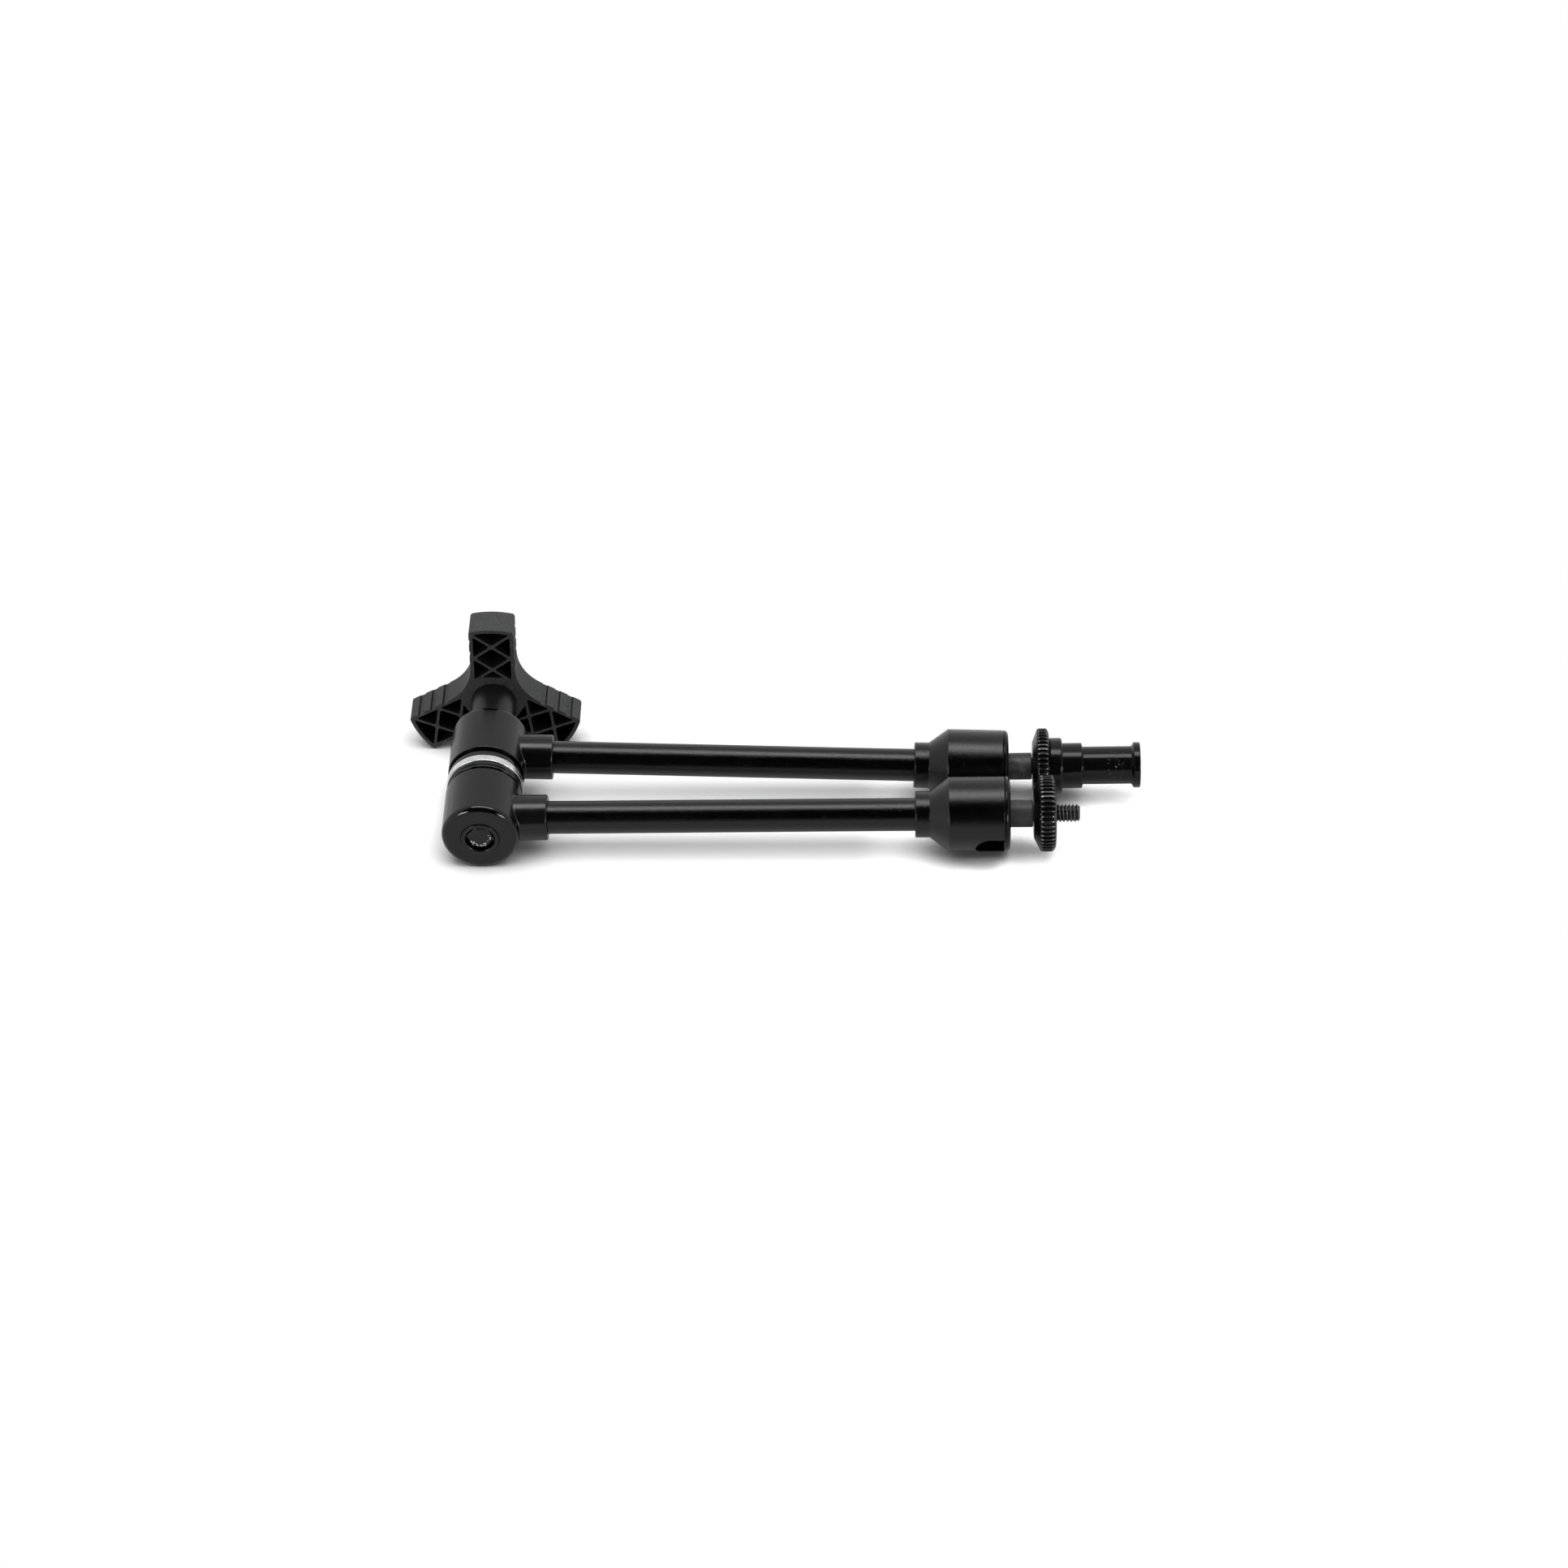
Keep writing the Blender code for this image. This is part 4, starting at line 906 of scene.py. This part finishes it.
def arm_pieces(side):
    """One arm's tube, its slotted bell and the ring in the bell's mouth."""
    arm, body = ARM[side], side + "_arm"
    tube_start = BOSS_SOCKET + GAP
    tube = rounded([
        (tube_start, TUBE_BORE_RADIUS, 0), (tube_start, TUBE_RADIUS, 0.15), (TUBE_END, TUBE_RADIUS, 0.15),
        (TUBE_END, TUBE_BORE_RADIUS, 0),
    ], closed=True)
    shown(
        side + "_tube_coated", lathe(tube, 96, "X", True), tube_paint, body, [side + "_tube"],
        arm,
    )
    outline = rounded([
        (COLLAR_START, 6.0, 0.1), (COLLAR_START, 8.0, 0.5), (COLLAR_END, 8.0, 0.3),
        (BELL_START, BELL_RADIUS, 0.8), (BELL_END + 0.1, BELL_RADIUS, 0.3), (BELL_END + 0.1, MOUTH_RADIUS, 0),
        (CUP_END, MOUTH_RADIUS, 0), (CUP_END, CUP_RADIUS, 0), (CUP_START, CUP_RADIUS, 0),
        (CUP_START, ROD_BORE_RADIUS, 0), (ROD_BORE_START, ROD_BORE_RADIUS, 0), (ROD_BORE_START, 6.0, 0),
    ], steps=4, closed=True)
    bell = shown(
        side + "_bell", lathe(outline, 128, "X", True), bell_paint, body, [side + "_ball_housing"],
        arm, 30,
    )
    half, length = SLOT_HALF_WIDTH, BELL_END - BALL_CENTRE + 1
    slot = [(length, -half), (length, half)]
    for step in range(33):
        turn = math.radians(90 + 180 * step / 32)
        slot.append((half * math.cos(turn), half * math.sin(turn)))
    turned = Matrix.Rotation(math.pi + SLOT_TURN, 4, "X")
    turned = Matrix.Translation((BALL_CENTRE * MM, 0, 0)) @ turned
    cut(bell, cutter("slot", prism(slot, SLOT_FLOOR, BELL_RADIUS + 1), arm @ turned))
    soften(bell, 0.22)
    seat = []
    for step in range(9):
        ahead = 2.8 + (4.9 - 2.8) * step / 8
        seat.append((BALL_CENTRE + ahead, math.sqrt(CUP_RADIUS**2 - ahead**2)))
    flange_start = BELL_END + GAP
    ring = seat + [
        (RING_FRONT - 0.15, 7.85), (RING_FRONT, 8.0),
        *arc(RING_FRONT - 1.5, BELL_RADIUS - 1.5, 1.5, 0, 90, 8),
        (flange_start + 0.15, BELL_RADIUS), (flange_start, BELL_RADIUS - 0.15),
        (flange_start, REGISTER_RADIUS), (REGISTER_START, REGISTER_RADIUS),
    ]
    shown(
        side + "_mouth_ring", lathe(ring, 128, "X", True), fitting_paint, body, [side + "_retaining_ring"],
        arm,
    )


for side in SIDES:
    arm_pieces(side)


# Studs, wheels and spigot

def threaded_stud(side):
    """A ball with its stem and a screw whose thread is one long helix."""
    stem_end = WHEEL_BACK - GAP - BALL_CENTRE + WHEEL_SHIFT[side]
    screw_end = SCREW_END - BALL_CENTRE
    sides, steps, root, crest = 96, 190, 2.5, 3.15
    neck = math.degrees(math.asin(STEM_RADIUS / BALL_RADIUS))
    outline = [(-BALL_RADIUS, 0)] + arc(0, 0, BALL_RADIUS, 176, neck, 26)
    outline += rounded([(10.0, STEM_RADIUS), (stem_end, STEM_RADIUS, 0.3), (stem_end, 2.7)], steps=3)
    bm = lathe(outline, sides)
    last = [vert for vert in bm.verts if abs(vert.co.x - stem_end) < 1e-4 and vert.co.yz.length < 2.8]
    last.sort(key=lambda vert: math.atan2(vert.co.z, vert.co.y) % math.tau)
    for k in range(steps + 1):
        along = stem_end + (screw_end - stem_end) * k / steps
        fade = min(1, (screw_end - along) / 0.7) if k < steps else 0
        ring = []
        for i in range(sides):
            turn = math.tau * i / sides
            phase = ((along - SCREW_PITCH * turn / math.tau) / SCREW_PITCH) % 1
            tooth = min(1.0, max(0.0, (0.5 - abs(phase - 0.5)) * 2.6 - 0.22))
            radius = root + (crest - root) * tooth
            radius = min(radius, root - 0.3 + (crest - root + 0.3) * fade)
            ring.append(bm.verts.new((along, radius * math.cos(turn), radius * math.sin(turn))))
        bridge(bm, last, ring)
        last = ring
    bridge(bm, last, [bm.verts.new((screw_end, 0, 0))])
    piece = shown(
        side + "_stud_threaded", bm, stem_steel[side], side + "_stud", [side + "_ball_stud"],
        STEM[side], 50,
    )
    piece.data.materials.append(screw_metal)
    back = STEM[side].inverted()
    for face in piece.data.polygons:
        if (back @ face.center).x / MM > stem_end + 0.01:
            face.material_index = 1
    mark_wear_and_glint(piece, lambda spot: ramp((back @ spot).yz.length / MM, 2.95, 0.15))


def knurled_wheel(side):
    """A lock wheel with rounded teeth that are cut deepest in the middle of its rim."""
    depth, per_tooth = 1.0, 10
    sides = WHEEL_TEETH * per_tooth
    start = WHEEL_BACK - BALL_CENTRE + WHEEL_SHIFT[side]
    stretch = WHEEL_STRETCH[side]
    sections = [
        (0.0, 3.3, 0), (0.0, 8.4, 0), (0.15, 8.8, 0), (1.75, 12.3, 0), (1.95, 12.75, 0.35),
        (2.15, 12.98, 0.8), (2.4, 13.1, 1.0), (2.9, 13.15, 1.0), (4.2, 13.15, 1.0), (5.5, 13.15, 1.0),
        (5.85, 13.08, 1.0), (6.1, 12.9, 0.8), (6.3, 12.6, 0.4), (6.45, 12.35, 0.1), (6.8, 11.7, 0),
        (6.9, 11.4, 0), (6.9, 3.3, 0),
    ]
    bm = bmesh.new()
    rings = []
    for unstretched, radius, cut_share in sections:
        along = unstretched * stretch
        ring = []
        for i in range(sides):
            turn = math.tau * i / sides
            share = abs(((i % per_tooth) / per_tooth) - 0.5) * 2
            groove = ramp(share, 0.22, 0.34)
            groove = groove * groove * (3 - 2 * groove)
            here = radius - depth * cut_share * groove
            ring.append(bm.verts.new((start + along, here * math.cos(turn), here * math.sin(turn))))
        rings.append(ring)
    skin(bm, rings + rings[:1])
    piece = shown(
        side + "_wheel_knurled", bm, wheel_metal, side + "_wheel", [side + "_lock_wheel"],
        STEM[side], 25,
    )
    back = STEM[side].inverted()

    def rule(spot):
        local = back @ spot
        radius, along = local.yz.length / MM, (local.x / MM - start) / stretch
        ends = peak(along, 2.3, 0.5) + peak(along, 5.95, 0.5)
        shoulder = peak(radius, 12.85, 0.2) if 2.3 < along < 5.9 else 0
        return min(1.0, ramp(radius, 12.75, 0.3) * (0.04 + ends) + 0.5 * shoulder)

    mark_wear_and_glint(piece, rule)


for side in SIDES:
    threaded_stud(side)
    knurled_wheel(side)

spigot_start = WHEEL_FRONT + GAP - BALL_CENTRE
bore_radius, shoulder_radius, land_radius, neck_radius = 3.3, 9.8, 7.95, 6.6
spigot_outline = rounded([
    (spigot_start - 0.6, bore_radius, 0), (spigot_start - 0.6, shoulder_radius, 0.6),
    (spigot_start + 3.8, shoulder_radius, 0.9), (spigot_start + 3.8, land_radius, 0.25),
    (spigot_start + 10.7, land_radius, 0.4), (spigot_start + 11.1, neck_radius, 0.2),
    *[(spigot_start + 18.5 + step * 0.6, neck_radius, 0) for step in range(14)],
    (spigot_start + 28.1, neck_radius, 0.6), (spigot_start + 28.9, land_radius, 0.35),
    (spigot_start + 31.1, land_radius, 0.4), (spigot_start + 31.1, 0),
], edge=0.3, steps=5)
bore_end = SCREW_END + GAP - BALL_CENTRE
bore = [(bore_end, 0), (bore_end, bore_radius)]
spigot = shown(
    "spigot_turned", lathe(bore + spigot_outline, 112), spigot_paint, "far_stud", ["spigot_adapter"],
    STEM["far"],
)
far_back = STEM["far"].inverted()


def spigot_wear(point):
    """Where a clamping screw has bitten: on the neck, on the side that faces up and forward."""
    local = far_back @ point
    along, turn = local.x / MM - spigot_start, math.degrees(math.atan2(local.z, -local.y))
    return min(1.0, 1.6 * peak(along, 22.4, 3.2) * peak(turn, 35, 55))


mark_wear_and_glint(spigot, spigot_wear)

# Hidden pieces keep their CAD shape and get real finishes
steel_names = ["near_wedge_cone", "far_wedge_cone", "near_push_rod", "far_push_rod", "thrust_washer"]
seat_names = ["near_ball_seat", "far_ball_seat"]
hidden_looks = ((plain_steel, steel_names), (seat_brass, seat_names), (spring_steel, ["release_spring"]))
for look, names in hidden_looks:
    for name in names:
        part = frame["nodes"][name]
        part.data.materials.clear()
        part.data.materials.append(look)


# Floor, world, light

# Half the object's length and width, and the distances from it at which the floor turns clear
OBJECT_HALF = (0.129, 0.046, 0)
CLEAR_FROM, CLEAR_BY = 0.014, 0.032
# Half the length and width of the oval in which the paper doesn't run out to white
PAPER_HALF = (0.26, 0.2)
# How far the painted contact shade reaches, how much light unshaded paper lets through, and the gain along X
# that paints the paper lighter towards the right
SHADE_REACH = 0.015
BARED = 0.56
GAIN_FROM, GAIN_BY, GAIN = 0.03, 0.09, 4.0
# The direction in which the room is dark in reflections
DARK_SIDE = (0, -0.8, 0.6)


def sheet(name, size, height):
    """A flat square of staging, which isn't part of the object."""
    bm = bmesh.new()
    bmesh.ops.create_grid(bm, x_segments=1, y_segments=1, size=size)
    made = object_of(name, mesh_of(name, bm))
    made.location.z = height
    return made


def seen(tree):
    """1 for rays from the camera, or seen by it in a reflection or through glass."""
    path = tree.nodes.new("ShaderNodeLightPath")
    either = maths(tree, "MAXIMUM", path.outputs["Is Camera Ray"], path.outputs["Is Glossy Ray"])
    return maths(tree, "MAXIMUM", either, path.outputs["Is Transmission Ray"])


def mixed(tree, share, first, second):
    """A mix of what two shader nodes give."""
    return node(tree, "ShaderNodeMixShader", None, i0=share, i1=first.outputs[0], i2=second.outputs[0])


def floor_look():
    """White paper that keeps the shadow near the object, adds painted contact shade from ambient occlusion
    and painted light towards +X, and runs out to white further away.

    The camera sees through what isn't shaded, to the white world and to parts below the table.
    """
    made = bpy.data.materials.new("white_paper")
    made.use_nodes = True
    tree = made.node_tree
    tree.nodes.clear()
    where = place(tree)
    stretched = node(tree, "ShaderNodeMapping", None, Vector=where)
    stretched.inputs["Scale"].default_value = (1 / PAPER_HALF[0], 1 / PAPER_HALF[1], 1)
    far_off = vector_maths(tree, "LENGTH", stretched.outputs[0], output="Value")
    share = mapped(tree, far_off, 0.7, 1.15, 0.0, 1.0)
    paper = node(tree, "ShaderNodeBsdfDiffuse", None, Color=(0.86, 0.86, 0.86, 1))
    # Light rays see a darker copy of the paper, which puts painted shade on what faces the floor
    dim = node(tree, "ShaderNodeBsdfDiffuse", None, Color=(0.4, 0.4, 0.4, 1))
    white = node(tree, "ShaderNodeEmission", None, Color=(1, 1, 1, 1), Strength=1.0)
    for_light = mixed(tree, seen(tree), dim, mixed(tree, share, paper, white))

    # Painted contact shade: ambient occlusion lets less white through near the object, and the X gain lets
    # more through towards the right as painted light
    contact_shade_ao = node(tree, "ShaderNodeAmbientOcclusion", {"samples": 16}, Distance=SHADE_REACH)
    painted_light_share = mapped(tree, contact_shade_ao.outputs["AO"], 0.45, 0.98, 0.0, BARED)
    aside = node(tree, "ShaderNodeSeparateXYZ", None, Vector=where).outputs["X"]
    painted_light_share = maths(tree, "MULTIPLY", painted_light_share, mapped(tree, aside, GAIN_FROM, GAIN_BY, 1.0, GAIN))
    veil = node(tree, "ShaderNodeBsdfTransparent", None, Color=painted_light_share)
    near = node(tree, "ShaderNodeAddShader", None, i0=paper.outputs[0], i1=veil.outputs[0])
    clear = node(tree, "ShaderNodeBsdfTransparent", None, Color=(1, 1, 1, 1))
    beyond = vector_maths(tree, "SUBTRACT", vector_maths(tree, "ABSOLUTE", where), OBJECT_HALF)
    away = vector_maths(tree, "LENGTH", vector_maths(tree, "MAXIMUM", beyond), output="Value")
    open_share = maths(
        tree, "MAXIMUM", mapped(tree, away, CLEAR_FROM, CLEAR_BY, 0.0, 1.0),
        mapped(tree, painted_light_share, 0.57, 1.0, 0.0, 1.0),
    )
    for_camera = mixed(tree, open_share, near, clear)

    path = tree.nodes.new("ShaderNodeLightPath")
    above = mixed(tree, path.outputs["Is Camera Ray"], for_light, for_camera)
    under = node(tree, "ShaderNodeNewGeometry").outputs["Backfacing"]
    choice = mixed(tree, under, above, clear)
    output = tree.nodes.new("ShaderNodeOutputMaterial")
    tree.links.new(choice.outputs[0], output.inputs["Surface"])
    return made


floor = sheet("floor", 4.0, -0.0002)
floor.data.materials.append(floor_look())

world = bpy.data.worlds.new("studio")
bpy.context.scene.world = world
world.use_nodes = True
tree = world.node_tree
tree.nodes.clear()
direction = node(tree, "ShaderNodeTexCoord").outputs["Generated"]
toward = vector_maths(tree, "DOT_PRODUCT", direction, DARK_SIDE, "Value")
around = mapped(tree, toward, 0.72, 0.52, 0.01, 0.88)
path = tree.nodes.new("ShaderNodeLightPath")
glossy = path.outputs["Is Glossy Ray"]
ambient = node(tree, "ShaderNodeMix", {"data_type": "FLOAT"}, Factor=glossy, A=0.3, B=around)
room = node(
    tree, "ShaderNodeBackground", None, Color=(1, 1, 1, 1), Strength=ambient.outputs["Result"]
)
white = node(tree, "ShaderNodeBackground", None, Color=(1, 1, 1, 1), Strength=1.0)
choice = mixed(tree, path.outputs["Is Camera Ray"], room, white)
output = tree.nodes.new("ShaderNodeOutputWorld")
tree.links.new(choice.outputs[0], output.inputs["Surface"])


def softbox(name, spot, target, width, depth, radiance, glossy=True, diffuse=True):
    """An area light of a given brightness, turned to a point, and what it shows up in."""
    data = bpy.data.lights.new(name, "AREA")
    data.shape = "RECTANGLE"
    data.size = width
    data.size_y = depth
    data.energy = radiance * math.pi * width * depth
    made = object_of(name, data)
    made.location = spot
    made.rotation_mode = "QUATERNION"
    made.rotation_quaternion = (Vector(target) - Vector(spot)).to_track_quat("-Z", "Y")
    made.visible_glossy = glossy
    made.visible_diffuse = diffuse


softbox("overhead", (0.0, 0.02, 0.8), (0, 0, 0), 0.8, 0.28, 6.2, diffuse=False)
softbox("soft_top", (0.0, -0.33, 0.8), (0, 0, 0), 0.9, 0.7, 3.3, glossy=False)
softbox("left_edge", (-0.65, -0.8, 0.27), (0, 0, 0), 0.34, 0.26, 13.0, diffuse=False)
softbox("right_edge", (0.65, -0.8, 0.27), (0, 0, 0), 0.34, 0.26, 13.0, diffuse=False)


# Camera, from a fit to the rims and edges of the turned pieces

SENSOR_WIDTH = 36
FRAME_PIXELS = 1932
FOCAL_PIXELS = 5413.788
DISTANCE = 1.5286
ELEVATION = math.radians(40.207)
HEADING = math.radians(-0.634)
ROLL = math.radians(0.318)
PIVOT_PIXEL = (597.995, 969.126)
FAR_ARM_DIP = math.radians(0.706)


def photo_camera():
    """The camera where it stands to the pivot, whose place in the photograph is known."""
    cos_e, sin_e, cos_h, sin_h = (
        math.cos(ELEVATION), math.sin(ELEVATION), math.cos(HEADING), math.sin(HEADING)
    )
    ahead = Vector((sin_h * cos_e, cos_h * cos_e, -sin_e))
    right = Vector((cos_h, -sin_h, 0))
    up = right.cross(ahead)
    right, up = (
        right * math.cos(ROLL) + up * math.sin(ROLL), up * math.cos(ROLL) - right * math.sin(ROLL)
    )
    middle = FRAME_PIXELS / 2
    aside = (PIVOT_PIXEL[0] - middle) / FOCAL_PIXELS * DISTANCE
    above = (middle - PIVOT_PIXEL[1]) / FOCAL_PIXELS * DISTANCE
    spot = -(ahead * DISTANCE + right * aside + up * above)
    turn = ELBOW.to_3x3() @ Matrix.Rotation(-FAR_ARM_DIP, 3, "Y")
    matrix = Matrix((turn @ right, turn @ up, turn @ -ahead)).transposed().to_4x4()
    matrix.translation = ELBOW.translation + turn @ spot
    data = bpy.data.cameras.new("camera")
    data.sensor_fit = "HORIZONTAL"
    data.sensor_width = SENSOR_WIDTH
    data.lens = FOCAL_PIXELS / FRAME_PIXELS * SENSOR_WIDTH
    camera = object_of("camera", data)
    camera.matrix_world = matrix
    bpy.context.scene.camera = camera


photo_camera()
bpy.context.scene.view_settings.view_transform = "Standard"
